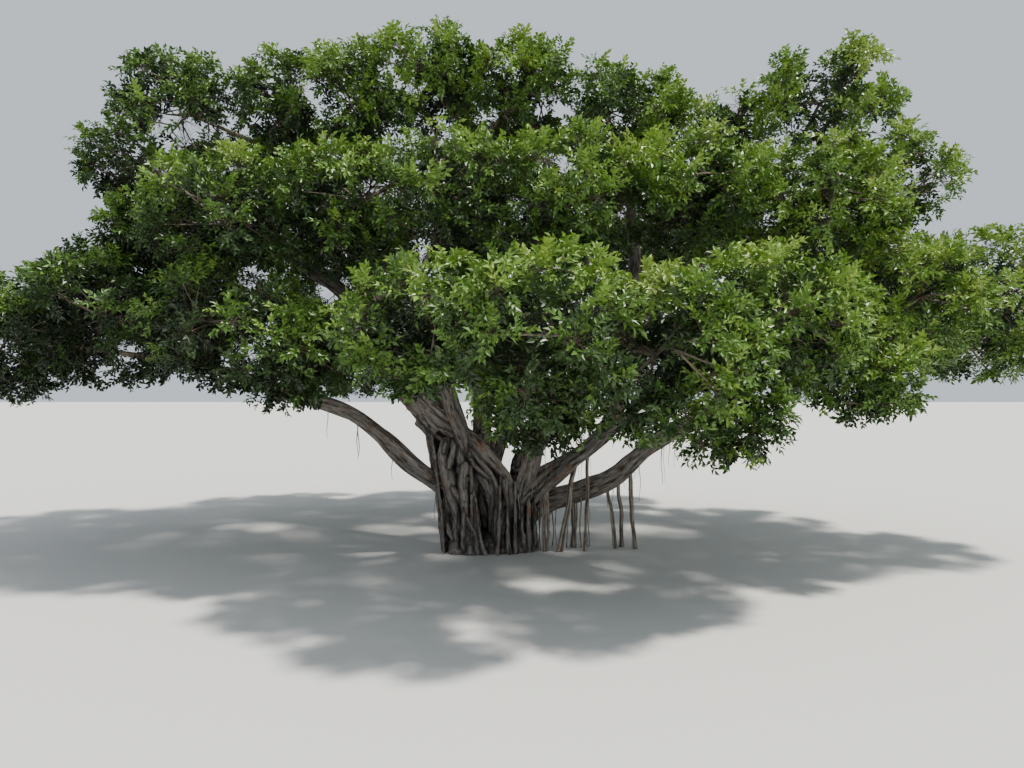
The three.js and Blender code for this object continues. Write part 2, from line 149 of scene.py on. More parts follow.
@dataclass(frozen=True)
class Layer:
    """A layer of strands round a limb: how many there are, and how many sides each has.

    Their radii and the depth of their middles are shares of the limb's radius.
    """

    count: int
    shares: tuple[float, float]
    depth: float
    sides: int


@dataclass(frozen=True)
class TwigStage:
    """A stage of twigs: the radii of its two ends in metres, a twig's samples and a ring's sides."""

    radii: tuple[float, float]
    samples: int
    sides: int


class RootEnd(Enum):
    """How a fine root ends, with the part of a bough where it starts, its radii in metres and its taper."""

    FREE = ((0.04, 0.6), (0.006, 0.014), 0.6)
    GROUND = ((0.0, 0.22), (0.011, 0.024), 0.1)


MASSES = (
    Mass("left_wing_tip", "left_low_bough", (-11.25, 0, 4.9), 2.17),
    Mass("left_wing_root", "left_low_bough", (-8.5, -0.6, 5.3), 2.25),
    Mass("left_skirt", "left_low_bough", (-5.2, -2.2, 5), 1.98),
    Mass("upper_left_belly", "great_left_bough", (-5.3, -2, 7.17), 2.05),
    Mass("upper_left_inner", "great_left_bough", (-7.5, -0.4, 7.2), 1.55),
    Mass("upper_left_edge", "great_left_bough", (-8.25, 0, 8.95), 1.6),
    Mass("upper_left_dome", "high_left_bough", (-7.35, 0.6, 10.35), 1.98),
    Mass("upper_left_shoulder", "high_left_bough", (-5.35, 0.8, 10.52), 1.9),
    Mass("top_left", "high_left_bough", (-3.3, 0.6, 10.68), 1.85),
    Mass("top_crest", "crown_bough", (-1.5, 0.4, 10.98), 1.87),
    Mass("top_middle", "crown_bough", (0.8, 0.4, 10.8), 1.84),
    Mass("mid_left", "crown_bough", (-3, -1.6, 7.45), 2.08),
    Mass("top_right", "centre_right_bough", (2.7, 0.5, 10.3), 1.78),
    Mass("top_right_knob", "centre_right_bough", (3.85, 1.2, 10.72), 1.4),
    Mass("right_mid_belly", "centre_right_bough", (4.2, -1.6, 7.8), 1.94),
    Mass("right_saddle", "right_high_bough", (5.85, 0.8, 9.95), 1.6, Habit.OPEN),
    Mass("right_leader", "right_high_bough", (7.85, 0.5, 10.55), 2.02, Habit.OPEN),
    Mass("right_edge", "right_high_bough", (9.5, 0.5, 8.75), 1.9, Habit.OPEN),
    Mass("right_upper_belly", "right_high_bough", (6.9, -1.2, 7.6), 2.16),
    Mass("right_wing_tip", "right_low_bough", (11.3, -0.1, 5.6), 2.5),
    Mass("right_wing_root", "right_low_bough", (8.9, -1.2, 5.6), 2.12),
    Mass("right_low", "right_low_bough", (7.4, -2.6, 4.0), 1.51),
    Mass("left_hollow", "front_left_bough", (-3.7, -2.8, 4.3), 1.6),
    Mass("front_left", "front_left_bough", (-0.95, -4.8, 4.7), 1.8),
    Mass("mid_centre", "front_left_bough", (-0.7, -2.2, 7.5), 2.08),
    Mass("mid_right", "front_right_bough", (1.7, -2.2, 7.5), 2.08),
    Mass("front_centre", "front_right_bough", (0.9, -5.9, 4.45), 2.0),
    Mass("front_mid_right", "front_right_bough", (2.75, -5.2, 4.2), 2.05),
    Mass("front_low", "front_right_bough", (1, -4.2, 3.5), 1.45),
    Mass("front_right", "right_front_bough", (5, -4, 4.9), 1.98),
    Mass("front_right_hang", "right_front_bough", (3.85, -5, 3.25), 1.32),
    Mass("back_left", "back_left_bough", (-9, 3.1, 6.4), 3),
    Mass("back_skirt_left", "back_left_bough", (-4.7, 6.7, 5.7), 3),
    Mass("back_top_left", "back_left_bough", (-4.9, 3.7, 8.8), 3),
    Mass("back_skirt_middle", "back_bough", (0.2, 7.3, 5.9), 3),
    Mass("back_top_middle", "back_bough", (0, 4.2, 9.2), 2.95),
    Mass("back_right", "back_right_bough", (9.1, 3.1, 6.4), 3),
    Mass("back_skirt_right", "back_right_bough", (4.9, 6.7, 5.7), 3),
    Mass("back_top_right", "back_right_bough", (5, 3.7, 8.7), 3),
)

BOUGHS = (
    Limb("left_low_bough", ((-0.82, -0.12, 1.33), (-1.86, -0.2, 1.96), (-2.67, -0.3, 2.7), (-3.6, -0.42, 3.3),
                            (-6.15, -0.9, 4.15)), (0.215, 0.13)),
    Limb("great_left_bough", ((-1.44, -0.098, 3.06), (-2.05, -0.15, 3.7), (-3.15, -0.25, 5.65),
                              (-4.6, -0.3, 6.75)), (0.285, 0.16)),
    Limb("high_left_bough", ((-1.06, 0.19, 2.9), (-1.4, 0.42, 4.2), (-2.6, 0.7, 7.0), (-4.25, 0.8, 8.85)),
         (0.215, 0.14)),
    Limb("crown_bough", ((-0.26, 0.42, 2.55), (-0.33, 0.56, 4.5), (-0.9, 0.5, 7.0), (-0.5, 0.35, 9.05)),
         (0.24, 0.145)),
    Limb("centre_right_bough", ((1.3, -0.097, 1.79), (2.1, -0.1, 2.25), (2.9, 0.06, 3.3), (3.35, 0.3, 5.6),
                                (3.3, 0.3, 7.7)), (0.18, 0.12)),
    Limb("right_high_bough", ((0.83, 0.56, 2.12), (1.7, 0.76, 3.5), (4.2, 0.9, 6.1), (6.55, 0.5, 8.35)),
         (0.23, 0.14)),
    Limb("right_low_bough", ((1.12, 0.258, 1.01), (2.63, 0.2, 1.56), (3.86, 0.06, 2.42), (6.5, -0.35, 4.25)),
         (0.255, 0.148)),
    Limb("front_left_bough", ((-0.56, -0.15, 2.15), (-0.9, -0.9, 3.5), (-1.25, -2.5, 5.45)), (0.19, 0.125)),
    Limb("front_right_bough", ((0.52, -0.06, 1.15), (1.15, -0.95, 2.6), (1.95, -2.9, 4.55)), (0.185, 0.125)),
    Limb("right_front_bough", ((0.93, 0.06, 1.15), (2.5, -0.9, 2.7), (4.05, -2.15, 3.65)), (0.165, 0.11)),
    Limb("back_left_bough", ((-0.33, 0.43, 2.25), (-1.7, 1.8, 3.5), (-4.15, 3.9, 5.75)), (0.215, 0.15)),
    Limb("back_bough", ((0.02, 0.52, 1.9), (0.25, 1.9, 3.1), (0.1, 4.5, 5.65)), (0.215, 0.15)),
    Limb("back_right_bough", ((0.76, 0.56, 1.85), (1.9, 1.9, 3.3), (4.25, 3.85, 5.75)), (0.215, 0.15)),
)

SKY_GAPS = (
    SkyGap(-7.35, 9.72, 0.62, 0.52, 0.95),
    SkyGap(-7.7, 8.8, 0.3, 0.2),
    SkyGap(-8.6, 9.0, 0.7, 0.6, 0.45),
    SkyGap(-4.5, 10.85, 0.28, 0.35),
    SkyGap(-1.4, 9.8, 0.55, 0.45, 0.6),
    SkyGap(-2.8, 8.35, 0.4, 0.28, 0.95),
    SkyGap(-5.6, 6.3, 0.48, 0.34, 0.95),
    SkyGap(-3.65, 6.0, 0.45, 0.3, 0.95),
    SkyGap(1.3, 10.4, 0.3, 0.18),
    SkyGap(1.5, 8.9, 0.35, 0.3, 0.8),
    SkyGap(3.2, 7.8, 0.38, 0.3),
    SkyGap(2.05, 7.8, 0.24, 0.14),
    SkyGap(5.5, 10.4, 0.3, 0.2),
    SkyGap(7.6, 9.8, 0.95, 0.5, 0.5),
    SkyGap(10.0, 8.5, 0.7, 0.5, 0.6),
    SkyGap(9.5, 6.5, 0.3, 0.17, 0.8),
    SkyGap(-8.5, 4.55, 0.35, 0.28),
    SkyGap(-5.5, 4.43, 0.28, 0.17),
)
FRONT_EYE = (0.46, -16.5, 3.58)  # where the gaps are seen from, and where the camera stands

TRUNK_LIMBS = (
    Limb("left_arch", ((0.33, 0, 0.3), (0.23, -0.02, 1.3), (-0.42, -0.06, 2.25), (-1.0, -0.09, 2.7),
                       (-1.56, -0.1, 3.16)), (0.36, 0.305)),
    Limb("right_arm", ((0.42, -0.03, 0.7), (0.7, -0.06, 1.25), (1.08, -0.09, 1.6), (1.4, -0.1, 1.86)),
         (0.23, 0.19)),
    Limb("right_foot_arm", ((0.56, 0.2, 0.5), (0.86, 0.24, 0.86), (1.24, 0.26, 1.06)), (0.3, 0.27)),
    Limb("left_riser", ((-0.42, 0.1, 1.5), (-0.9, 0.12, 2.45), (-1.08, 0.2, 3.0)), (0.26, 0.225)),
)

TRUNK_STEMS = (
    Stem("left_stem", (-0.69, -0.15, 0), (-0.9, -0.12, 2.65), (0.33, 0.33), 0.35),
    Stem("left_front_stem", (-0.42, -0.42, 0), (-0.64, -0.18, 2.1), (0.21, 0.24), 0.5),
    Stem("right_stem", (0.23, -0.33, 0), (0.33, -0.06, 1.35), (0.19, 0.25), 0.45),
    Stem("right_front_stem", (0.54, -0.3, 0), (0.52, -0.04, 1.25), (0.17, 0.23), 0.45),
    Stem("right_outer_stem", (0.79, -0.15, 0), (0.86, 0.04, 1.3), (0.15, 0.21), 0.5),
    Stem("back_left_stem", (-0.22, 0.48, 0), (-0.26, 0.42, 2.7), (0.34, 0.27), 0.35),
    Stem("back_right_stem", (0.52, 0.47, 0), (0.78, 0.56, 2.25), (0.33, 0.26), 0.35),
)

PROP_ROOTS = (
    Stem("prop_root_1", (1.54, -0.26, 0), (1.95, -0.11, 2.16), (0.062, 0.062), 0.5),
    Stem("prop_root_2", (2.12, -0.23, 0), (2.21, -0.09, 2.33), (0.038, 0.038), 0.5),
    Stem("prop_root_3", (1.89, 0.18, 0), (1.9, 0.235, 1.29), (0.06, 0.06), 0.5),
    Stem("prop_root_4", (2.86, 0.06, 0), (2.68, 0.19, 1.59), (0.042, 0.042), 0.5),
    Stem("prop_root_5", (3.04, 0.25, 0), (2.95, 0.18, 1.78), (0.046, 0.046), 0.5),
    Stem("prop_root_6", (3.29, 0.02, 0), (3.2, 0.15, 1.93), (0.052, 0.052), 0.5),
    Stem("prop_root_7", (1.21, -0.26, 0), (1.18, -0.09, 1.66), (0.04, 0.04), 0.5),
)

# Cores take a share of the radius, and layers of strands lie round them.
STEM_CORE, LIMB_CORE, TRUNK_CORE_SIDES = 0.7, 0.74, 16
STEM_LAYERS = (Layer(7, (0.3, 0.48), 0.74, 12), Layer(8, (0.12, 0.22), 0.92, 8))
LIMB_LAYERS = (Layer(7, (0.3, 0.46), 0.74, 12), Layer(7, (0.12, 0.22), 0.9, 8))
COLLAR_LAYER = Layer(8, (0.26, 0.36), 0.78, 8)
BOUGH_LAYER = Layer(7, (0.2, 0.4), 0.72, 8)
PROP_LAYER = Layer(5, (0.2, 0.4), 0.72, 8)

MASS_STEM = TwigStage((0.072, 0.036), 24, 8)
MAIN_TWIGS = TwigStage((0.036, 0.008), 12, 6)
CLUMP_TWIGS = TwigStage((0.021, 0.009), 6, 4)
FINEST_TWIG = 0.006  # radius of the finest twigs' thick ends, in metres

# For each habit, the shares of its clumps and how deep they are grown: 1 is at the mass's surface.
CLUMPS = {Habit.DENSE: ((1.0, 1.0), (0.25, 0.5)), Habit.OPEN: ((0.6, 1.0), (0.4, 0.45))}
TONE_STEPS = (-0.7, 0.0, 0.6, 1.25)  # the scores at which a spray takes the next lighter green, from painted shade towards painted sunlight

# A leaf's points: how far along it, how far across, and how high, in widths where it is across.
LEAF_POINTS = ((0.0, 0, 0), (0.42, -1, 0.35), (1.0, 0, -0.14), (0.42, 1, 0.35))
LEAF_FACES = np.array([(0, 1, 2), (0, 2, 3)])


def linear(hex_colour: str) -> tuple[float, float, float, float]:
    """Turns an sRGB hex colour into linear RGBA.

    A small part is divided by 12.92. Any other is moved by 0.055, scaled back to 1 and raised to 2.4.

    Args:
        hex_colour: six hex digits after a hash sign.

    Returns:
        Linear red, green, blue and an alpha of 1.
    """
    parts = [int(hex_colour[i:i + 2], 16) / 255 for i in (1, 3, 5)]
    red, green, blue = (c / 12.92 if c <= 0.04045 else ((c + 0.055) / 1.055) ** 2.4 for c in parts)
    return red, green, blue, 1.0


class SeededSequence:
    """The source's sequence of numbers from 0 to 1: the same seed always grows the same mass."""

    SEED_FACTOR = 7919
    SEED_STEP = 17
    FACTOR = 1664525
    STEP = 1013904223
    RANGE = 2 ** 32

    def __init__(self, seed: int) -> None:
        """Starts the sequence of a mass's number."""
        self.state = (seed * self.SEED_FACTOR + self.SEED_STEP) % self.RANGE

    def draw(self) -> float:
        """Returns the next number."""
        self.state = (self.state * self.FACTOR + self.STEP) % self.RANGE
        return self.state / self.RANGE


def unit(vectors: Array) -> Array:
    """Scales each vector of an array to length 1."""
    return vectors / np.maximum(np.linalg.norm(vectors, axis=-1, keepdims=True), 1e-9)


def steps(path: Array) -> Array:
    """The distance from each point of a path to the next."""
    return np.linalg.norm(np.diff(path, axis=0), axis=1)


def running(lengths: Array) -> Array:
    """The running sum of lengths, with a 0 before it."""
    return np.append(0, np.cumsum(lengths))


def ring(sides: int) -> Array:
    """Angles that lie evenly round a full turn."""
    return np.linspace(0, FULL_TURN, sides, endpoint=False)


def smooth_route(points: Array, samples: int) -> Array:
    """A smooth curve through the points, sampled evenly along its length.

    Between two points the curve blends three straight lines pairwise, then the two blends again, with knots
    that lie apart by the square root of the distance. A mirrored point is added beyond each end.

    Args:
        points: the route's points, n by 3.
        samples: how many points to return.

    Returns:
        The sampled curve, samples by 3.
    """
    padded = np.vstack([2 * points[0] - points[1], points, 2 * points[-1] - points[-2]])
    knots = running(np.sqrt(steps(padded)))

    def blend(low: Array, high: Array, start: float, stop: float, t: Array) -> Array:
        """The straight mix of two values or curves between two knots."""
        return ((stop - t) * low + (t - start) * high) / (stop - start)

    stretches = []
    for i in range(1, len(padded) - 2):
        t = np.linspace(knots[i], knots[i + 1], ROUTE_SAMPLES)[:, None]
        lines = [blend(padded[k], padded[k + 1], knots[k], knots[k + 1], t) for k in (i - 1, i, i + 1)]
        pairs = [blend(lines[k], lines[k + 1], knots[i - 1 + k], knots[i + 1 + k], t) for k in (0, 1)]
        stretches.append(blend(pairs[0], pairs[1], knots[i], knots[i + 1], t))
    fine = np.vstack(stretches)
    along = running(steps(fine))
    marks = np.linspace(0, along[-1], samples)
    return np.stack([np.interp(marks, along, fine[:, k]) for k in range(3)], axis=1)


def frames(paths: Array) -> tuple[Array, Array, Array]:
    """Tangents of many paths and two cross directions at each of their points.

    The first cross direction is at right angles to the tangent and to a fixed axis: the X axis for paths that
    mostly rise, or else the Z axis. The second completes a right-handed set.

    Args:
        paths: the paths' points, paths by samples by 3.

    Returns:
        Tangents, first cross directions and second cross directions, each paths by samples by 3.
    """
    tangents = unit(np.gradient(paths, axis=1))
    rises = np.abs(unit(paths[:, -1] - paths[:, 0])[:, 2:]) > STEEP
    axis = np.where(rises, np.array([1.0, 0.0, 0.0]), UP)[:, None]
    first = unit(np.cross(np.broadcast_to(axis, tangents.shape), tangents))
    return tangents, first, np.cross(tangents, first)


def sweep(paths: Array, radii: Array, sides: int, swell: Array | None = None) -> Surface:
    """Carries a round section along many paths at once and closes both ends.

    A ring's point is the path's point plus radius times (cosine of the angle times the first cross direction
    plus sine of the angle times the second), and the radius is multiplied by the swell where one is given.

    Args:
        paths: the paths' points, paths by samples by 3.
        radii: the radius at each sample, paths by samples.
        sides: how many points a ring has.
        swell: a factor for each point of each ring, paths by samples by sides.

    Returns:
        The surface.
    """
    count, samples = paths.shape[:2]
    _, first, second = frames(paths)
    turn = np.stack([np.cos(ring(sides)), np.sin(ring(sides))])[..., None]
    across = turn[0] * first[:, :, None, :] + turn[1] * second[:, :, None, :]
    reach = radii[:, :, None] * (1 if swell is None else swell)
    rings = paths[:, :, None, :] + across * reach[..., None]
    points = np.concatenate([rings.reshape(count, samples * sides, 3), paths[:, :1], paths[:, -1:]], axis=1)
    j = np.arange(sides)
    after = (j + 1) % sides
    row = (np.arange(samples - 1) * sides)[:, None]
    low, low_next, high, high_next = row + j, row + after, row + sides + j, row + sides + after
    walls = np.concatenate([np.stack([low, low_next, high_next], -1).reshape(-1, 3),
                            np.stack([low, high_next, high], -1).reshape(-1, 3)])
    start, end, last = samples * sides, samples * sides + 1, (samples - 1) * sides
    caps = np.concatenate([np.stack([np.full(sides, start), after, j], -1),
                           np.stack([np.full(sides, end), last + j, last + after], -1)])
    faces = np.concatenate([walls, caps])
    offsets = (np.arange(count) * (samples * sides + 2))[:, None, None]
    return points.reshape(-1, 3), (faces[None] + offsets).reshape(-1, 3)


def spikes(starts: Array, ends: Array, radius: float) -> Surface:
    """The finest twigs: three-sided spikes, closed at the thick end.

    Args:
        starts: the thick ends' middles, n by 3.
        ends: the points that they taper to, n by 3.
        radius: the thick ends' radius.

    Returns:
        The surface.
    """
    _, first, second = frames(np.stack([starts, ends], axis=1))
    turn = ring(3)[:, None]
    rim = starts[:, None] + radius * (np.cos(turn) * first[:, :1] + np.sin(turn) * second[:, :1])
    points = np.concatenate([rim, ends[:, None]], axis=1)
    sides = np.array([(0, 1, 3), (1, 2, 3), (2, 0, 3), (0, 2, 1)])
    faces = sides[None] + 4 * np.arange(len(starts))[:, None, None]
    return points.reshape(-1, 3), faces.reshape(-1, 3)


def curl(start: Array, middle: Array, end: Array, samples: int) -> Array:
    """Quadratic curves: each point is the mix of two straight mixes of start, middle and end."""
    t = np.linspace(0, 1, samples)[None, :, None]
    return (1 - t) ** 2 * start[:, None] + 2 * t * (1 - t) * middle[:, None] + t ** 2 * end[:, None]


def joined(parts: Sequence[Surface]) -> Surface:
    """Puts several surfaces together in one, with their point numbers moved on.

    Args:
        parts: the surfaces.

    Returns:
        The one surface.
    """
    shifts = np.cumsum([0] + [len(points) for points, _ in parts[:-1]])
    return (np.concatenate([points for points, _ in parts]),
            np.concatenate([faces + shift for (_, faces), shift in zip(parts, shifts)]))


def new_piece(name: str, points: Array, faces: Array, smooth: bool) -> bpy.types.Object:
    """Makes a mesh object at the origin from arrays.

    Args:
        name: the piece's name.
        points: its points, n by 3, in metres.
        faces: its faces, m by 3 or m by 4.
        smooth: whether it is shaded smooth.

    Returns:
        The object, linked to the scene.
    """
    mesh = bpy.data.meshes.new(name)
    mesh.vertices.add(len(points))
    mesh.vertices.foreach_set("co", np.ascontiguousarray(points, np.float32).ravel())
    mesh.loops.add(faces.size)
    mesh.loops.foreach_set("vertex_index", np.ascontiguousarray(faces, np.int32).ravel())
    mesh.polygons.add(len(faces))
    mesh.polygons.foreach_set("loop_start", np.arange(0, faces.size, faces.shape[1], dtype=np.int32))
    mesh.polygons.foreach_set("use_smooth", np.full(len(faces), smooth))
    mesh.update(calc_edges=True)
    piece = bpy.data.objects.new(name, mesh)
    bpy.context.scene.collection.objects.link(piece)
    return piece


def hand_over(piece: bpy.types.Object, finish: bpy.types.Material,
              nodes: Sequence[str] = ()) -> None:
    """Gives a piece its finish, lets it ride on the body, hides the source's parts that it stands for, and
    logs it.

    Args:
        piece: the piece.
        finish: its material.
        nodes: the nodes that it replaces.
    """
    piece.data.materials.append(finish)
    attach(piece, BODY)
    if nodes:
        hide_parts(*nodes)
    LOG.info("%s: %d faces", piece.name, len(piece.data.polygons))


def add_node(tree: bpy.types.NodeTree, kind: str, settings: dict | None = None,
             links: dict | None = None) -> bpy.types.Node:
    """Adds a shader node with its settings and links.

    Args:
        tree: the material's node tree.
        kind: the node's type.
        settings: values by property name, or by input name or number.
        links: output sockets by input name or number.

    Returns:
        The node.
    """
    node = tree.nodes.new(kind)
    for key, value in (settings or {}).items():
        if isinstance(key, str) and hasattr(node, key):
            setattr(node, key, value)
        else:
            node.inputs[key].default_value = value
    for key, socket in (links or {}).items():
        tree.links.new(socket, node.inputs[key])
    return node


def new_material(name: str) -> tuple[bpy.types.Material, bpy.types.NodeTree]:
    """Makes an empty node material.

    Args:
        name: the material's name.

    Returns:
        The material and its node tree.
    """
    material = bpy.data.materials.new(name)
    material.use_nodes = True
    material.node_tree.nodes.clear()
    return material, material.node_tree


@dataclass(frozen=True)
class BarkFinish:
    """Living fig bark: thin, grey-brown and matt, with rusty patches, and painted shade in its flutes and
    furrows.

    The grain is streaked at random with pale grey, and the flutes and the creases where strands meet get
    painted shade. Grain and short furrows run along each limb, and the furrows' pattern is darkened with the
    same painted shade. Lenticels and lichen speckle it finely, which gives the eye a rough, dry skin with no
    gloss.
    """

    name: str
    ridge: str
    body: str
    # The groove colour is the near-black painted shade of flutes, creases and furrows.
    painted_groove_shade: str
    rust: str
    patch_mm: float = 260.0
    grain_mm: float = 45.0
    furrow_mm: float = 62.0
    bump_mm: float = 9.0

    def material(self) -> bpy.types.Material:
        """Builds the bark's material on object coordinates and the piece's own ridge and straight attributes.

        Returns:
            The material.
        """
        material, tree = new_material(self.name)
        place = add_node(tree, "ShaderNodeTexCoord")
        straight = add_node(tree, "ShaderNodeAttribute", {"attribute_name": "straight"})
        grain_way = add_node(tree, "ShaderNodeMapping", {"Scale": (1.0, 1.0, 0.28)},
                             {"Vector": straight.outputs["Vector"]})
        furrow_way = add_node(tree, "ShaderNodeMapping", {"Scale": (1.0, 1.0, 0.16)},
                              {"Vector": straight.outputs["Vector"]})
        patches = add_node(tree, "ShaderNodeTexNoise", {"Scale": 1000 / self.patch_mm, "Detail": 3.0},
                           {"Vector": place.outputs["Object"]})
        grain = add_node(tree, "ShaderNodeTexNoise", {"Scale": 1000 / self.grain_mm, "Detail": 6.0,
                                                      "Roughness": 0.62}, {"Vector": grain_way.outputs[0]})
        furrows = add_node(tree, "ShaderNodeTexNoise", {"Scale": 1000 / self.furrow_mm, "Detail": 3.0},
                           {"Vector": furrow_way.outputs[0]})
        whole = add_node(tree, "ShaderNodeMapRange", {"From Min": 0.35, "From Max": 0.47, "To Min": 0.25},
                         {"Value": furrows.outputs["Fac"]})
        # Painted shade: where the ridge value is low, in flutes and in creases between strands, the colour
        # goes to the groove colour.
        painted_groove_shade = add_node(tree, "ShaderNodeAttribute", {"attribute_name": "ridge"})
        tone = add_node(tree, "ShaderNodeValToRGB", links={"Fac": grain.outputs["Fac"]})
        tone.color_ramp.elements[0].position = 0.32
        tone.color_ramp.elements[0].color = linear(self.body)
        tone.color_ramp.elements[1].position = 0.72
        tone.color_ramp.elements[1].color = linear(self.ridge)
        rust_part = add_node(tree, "ShaderNodeMapRange", {"From Min": 0.55, "From Max": 0.7, "To Max": 0.75},
                             {"Value": patches.outputs["Fac"]})
        rusty = add_node(tree, "ShaderNodeMix", {"data_type": "RGBA", 7: linear(self.rust)},
                         {0: rust_part.outputs[0], 6: tone.outputs[0]})
        # The furrows are a pattern along the grain, darkened with the groove colour as painted shade.
        furrowed = add_node(tree, "ShaderNodeMix", {"data_type": "RGBA", 6: linear(self.painted_groove_shade)},
                            {0: whole.outputs[0], 7: rusty.outputs[2]})
        painted_shade = add_node(tree, "ShaderNodeMapRange", {"From Min": 0.05, "From Max": 0.6},
                         {"Value": painted_groove_shade.outputs["Fac"]})
        colour = add_node(tree, "ShaderNodeMix", {"data_type": "RGBA", 6: linear(self.painted_groove_shade)},
                          {0: painted_shade.outputs[0], 7: furrowed.outputs[2]})
        dents = add_node(tree, "ShaderNodeBump", {"Strength": 0.7, "Distance": self.bump_mm / 1000},
                         {"Height": whole.outputs[0]})
        bump = add_node(tree, "ShaderNodeBump", {"Strength": 0.8, "Distance": self.bump_mm / 1000},
                        {"Height": grain.outputs["Fac"], "Normal": dents.outputs[0]})
        skin = add_node(tree, "ShaderNodeBsdfPrincipled", {"Roughness": 0.88, "Specular IOR Level": 0.25},
                        {"Base Color": colour.outputs[2], "Normal": bump.outputs[0]})
        add_node(tree, "ShaderNodeOutputMaterial", links={"Surface": skin.outputs[0]})
        return material


@dataclass(frozen=True)
class LeafFinish:
    """A fig leaf's waxy skin: smooth and a little glossy, so that it glints white where it faces the light.

    Each spray takes one of a few greens, which paint its light and shade, and a fine mottle keeps
    neighbouring leaves apart.
    """

    name: str
    colour: str
    mottle: str
    roughness: float
    mottle_mm: float = 180.0

    def material(self) -> bpy.types.Material:
        """Builds the leaf's material on object coordinates.

        Returns:
            The material.
        """
        material, tree = new_material(self.name)
        place = add_node(tree, "ShaderNodeTexCoord")
        mottle = add_node(tree, "ShaderNodeTexNoise", {"Scale": 1000 / self.mottle_mm, "Detail": 2.0},
                          {"Vector": place.outputs["Object"]})
        part = add_node(tree, "ShaderNodeMapRange", {"From Min": 0.4, "From Max": 0.62},
                        {"Value": mottle.outputs["Fac"]})
        colour = add_node(tree, "ShaderNodeMix", {"data_type": "RGBA", 6: linear(self.colour),
                                                  7: linear(self.mottle)}, {0: part.outputs[0]})
        skin = add_node(tree, "ShaderNodeBsdfPrincipled", {"Roughness": self.roughness,
                                                           "Specular IOR Level": 0.5},
                        {"Base Color": colour.outputs[2]})
        add_node(tree, "ShaderNodeOutputMaterial", links={"Surface": skin.outputs[0]})
        return material


class LeafTone(Enum):
    """The greens that sprays are dealt, from painted shade inside a mass to painted sunlight on its new
    growth.
    """

    SHADE = 0
    DEEP = 1
    MID = 2
    LIGHT = 3
    FRESH = 4


# Darker greens are painted shade and lighter ones painted sunlight; the lightest also has new growth's
# yellow.
LEAF_FINISHES = {
    LeafTone.SHADE: LeafFinish("fig_leaf_shade", "#1b2a10", "#243516", 0.42),
    LeafTone.DEEP: LeafFinish("fig_leaf_deep", "#2e451d", "#3a5523", 0.4),
    LeafTone.MID: LeafFinish("fig_leaf_mid", "#52722a", "#5f8133", 0.38),
    LeafTone.LIGHT: LeafFinish("fig_leaf_light", "#739438", "#81a145", 0.38),
    LeafTone.FRESH: LeafFinish("fig_leaf_fresh", "#8aa544", "#99b153", 0.38),
}
# A bark's third colour is its painted shade in flutes, creases and furrows.
TRUNK_BARK = BarkFinish("fig_bark", "#96908a", "#5b5651", "#171413", "#74563f")
ROOT_BARK = BarkFinish("aerial_root_bark", "#b5aca0", "#8a8176", "#3b332c", "#8f7358", 160.0, 22.0, 40.0, 3.0)
TWIG_BARK = BarkFinish("twig_bark", "#8a8174", "#665d51", "#3d342a", "#755f4a", 400.0, 60.0, 62.0, 3.0)


class Crown:
    """The space of every mass and the rule by which twigs grow out in it."""

    def __init__(self, masses: Sequence[Mass]) -> None:
        """Keeps the masses' centres and reaches as arrays."""
        self.centres = np.array([mass.centre for mass in masses], float)
        self.reaches = np.array([mass.reach for mass in masses])

    def walls(self, index: int) -> tuple[Array, Array]:
        """The planes round a mass in the space where masses are round.

        A plane lies where the squared distance less the squared reach is the same for both masses.

        Args:
            index: the mass's number.

        Returns:
            The planes' unit normals and their distances from the mass's centre.
        """
        across = np.delete(self.centres - self.centres[index], index, axis=0) * UNFLATTEN
        others = np.delete(self.reaches, index)
        away = np.linalg.norm(across, axis=1)
        share = (away ** 2 + self.reaches[index] ** 2 - others ** 2) / (2 * away)
        return across / away[:, None], share - MASS_MARGIN / MASS_FLATNESS

    def room(self, index: int, directions: Array) -> Array:
        """How far a mass reaches from its centre along directions of the round space.

        Args:
            index: the mass's number.
            directions: unit vectors, n by 3.

        Returns:
            The n distances.
        """
        normals, offsets = self.walls(index)
        towards = directions @ normals.T
        limits = np.where(towards > 1e-6, offsets / np.maximum(towards, 1e-6), np.inf)
        return np.minimum(limits.min(axis=1), self.reaches[index])

    def place(self, index: int, directions: Array, distances: Array) -> Array:
        """Points at distances from a mass's centre along directions of the round space."""
        return self.centres[index] + directions * distances[:, None] * FLATTEN

    def buried(self, index: int, points: Array) -> Array:
        """Whether points lie deep in another mass's reach, where no foliage of this mass would be seen.

        Args:
            index: the mass's number.
            points: the points, n by 3.

        Returns:
            The n answers.
        """
        away = np.linalg.norm((points[:, None] - self.centres[None]) * UNFLATTEN, axis=2) / self.reaches
        away[:, index] = np.inf
        return away.min(axis=1) < BURIED_SHARE

    def keeps_inside(self, index: int, points: Array) -> Array:
        """Whether points lie in a mass's own reach and no further than the overlap beyond its planes.

        Args:
            index: the mass's number.
            points: the points, in an array of any shape whose last axis is 3 long.

        Returns:
            The answers, in the shape of the points without the last axis.
        """
        normals, offsets = self.walls(index)
        rounded = (points - self.centres[index]) * UNFLATTEN
        near = np.linalg.norm(rounded, axis=-1) <= self.reaches[index] * LEAF_ROOM
        return near & np.all(rounded @ normals.T <= offsets + LEAF_OVERLAP, axis=-1)


def in_sky_gap(points: Array, random: Random) -> Array:
    """Whether sprays are left out because they stand in one of the crown's gaps as seen from the front.

    A spray is carried along its line of sight to the trunk's upright plane. It is left out with the gap's
    share where its distance from the gap's middle, in half sizes, is less than a chance value about 1.

    Args:
        points: the sprays' middles, n by 3.
        random: the source of the chance.

    Returns:
        Whether each spray is left out.
    """
    eye = np.array(FRONT_EYE)
    seen = eye + (points - eye) * (-eye[1] / (points[:, 1:2] - eye[1]))
    out = np.zeros(len(points), bool)
    for gap in SKY_GAPS:
        away = np.hypot((seen[:, 0] - gap.x) / gap.half_width, (seen[:, 2] - gap.z) / gap.half_height)
        out |= (away < random.normal(*GAP_EDGE, len(points))) & (random.random(len(points)) < gap.share)
    return out


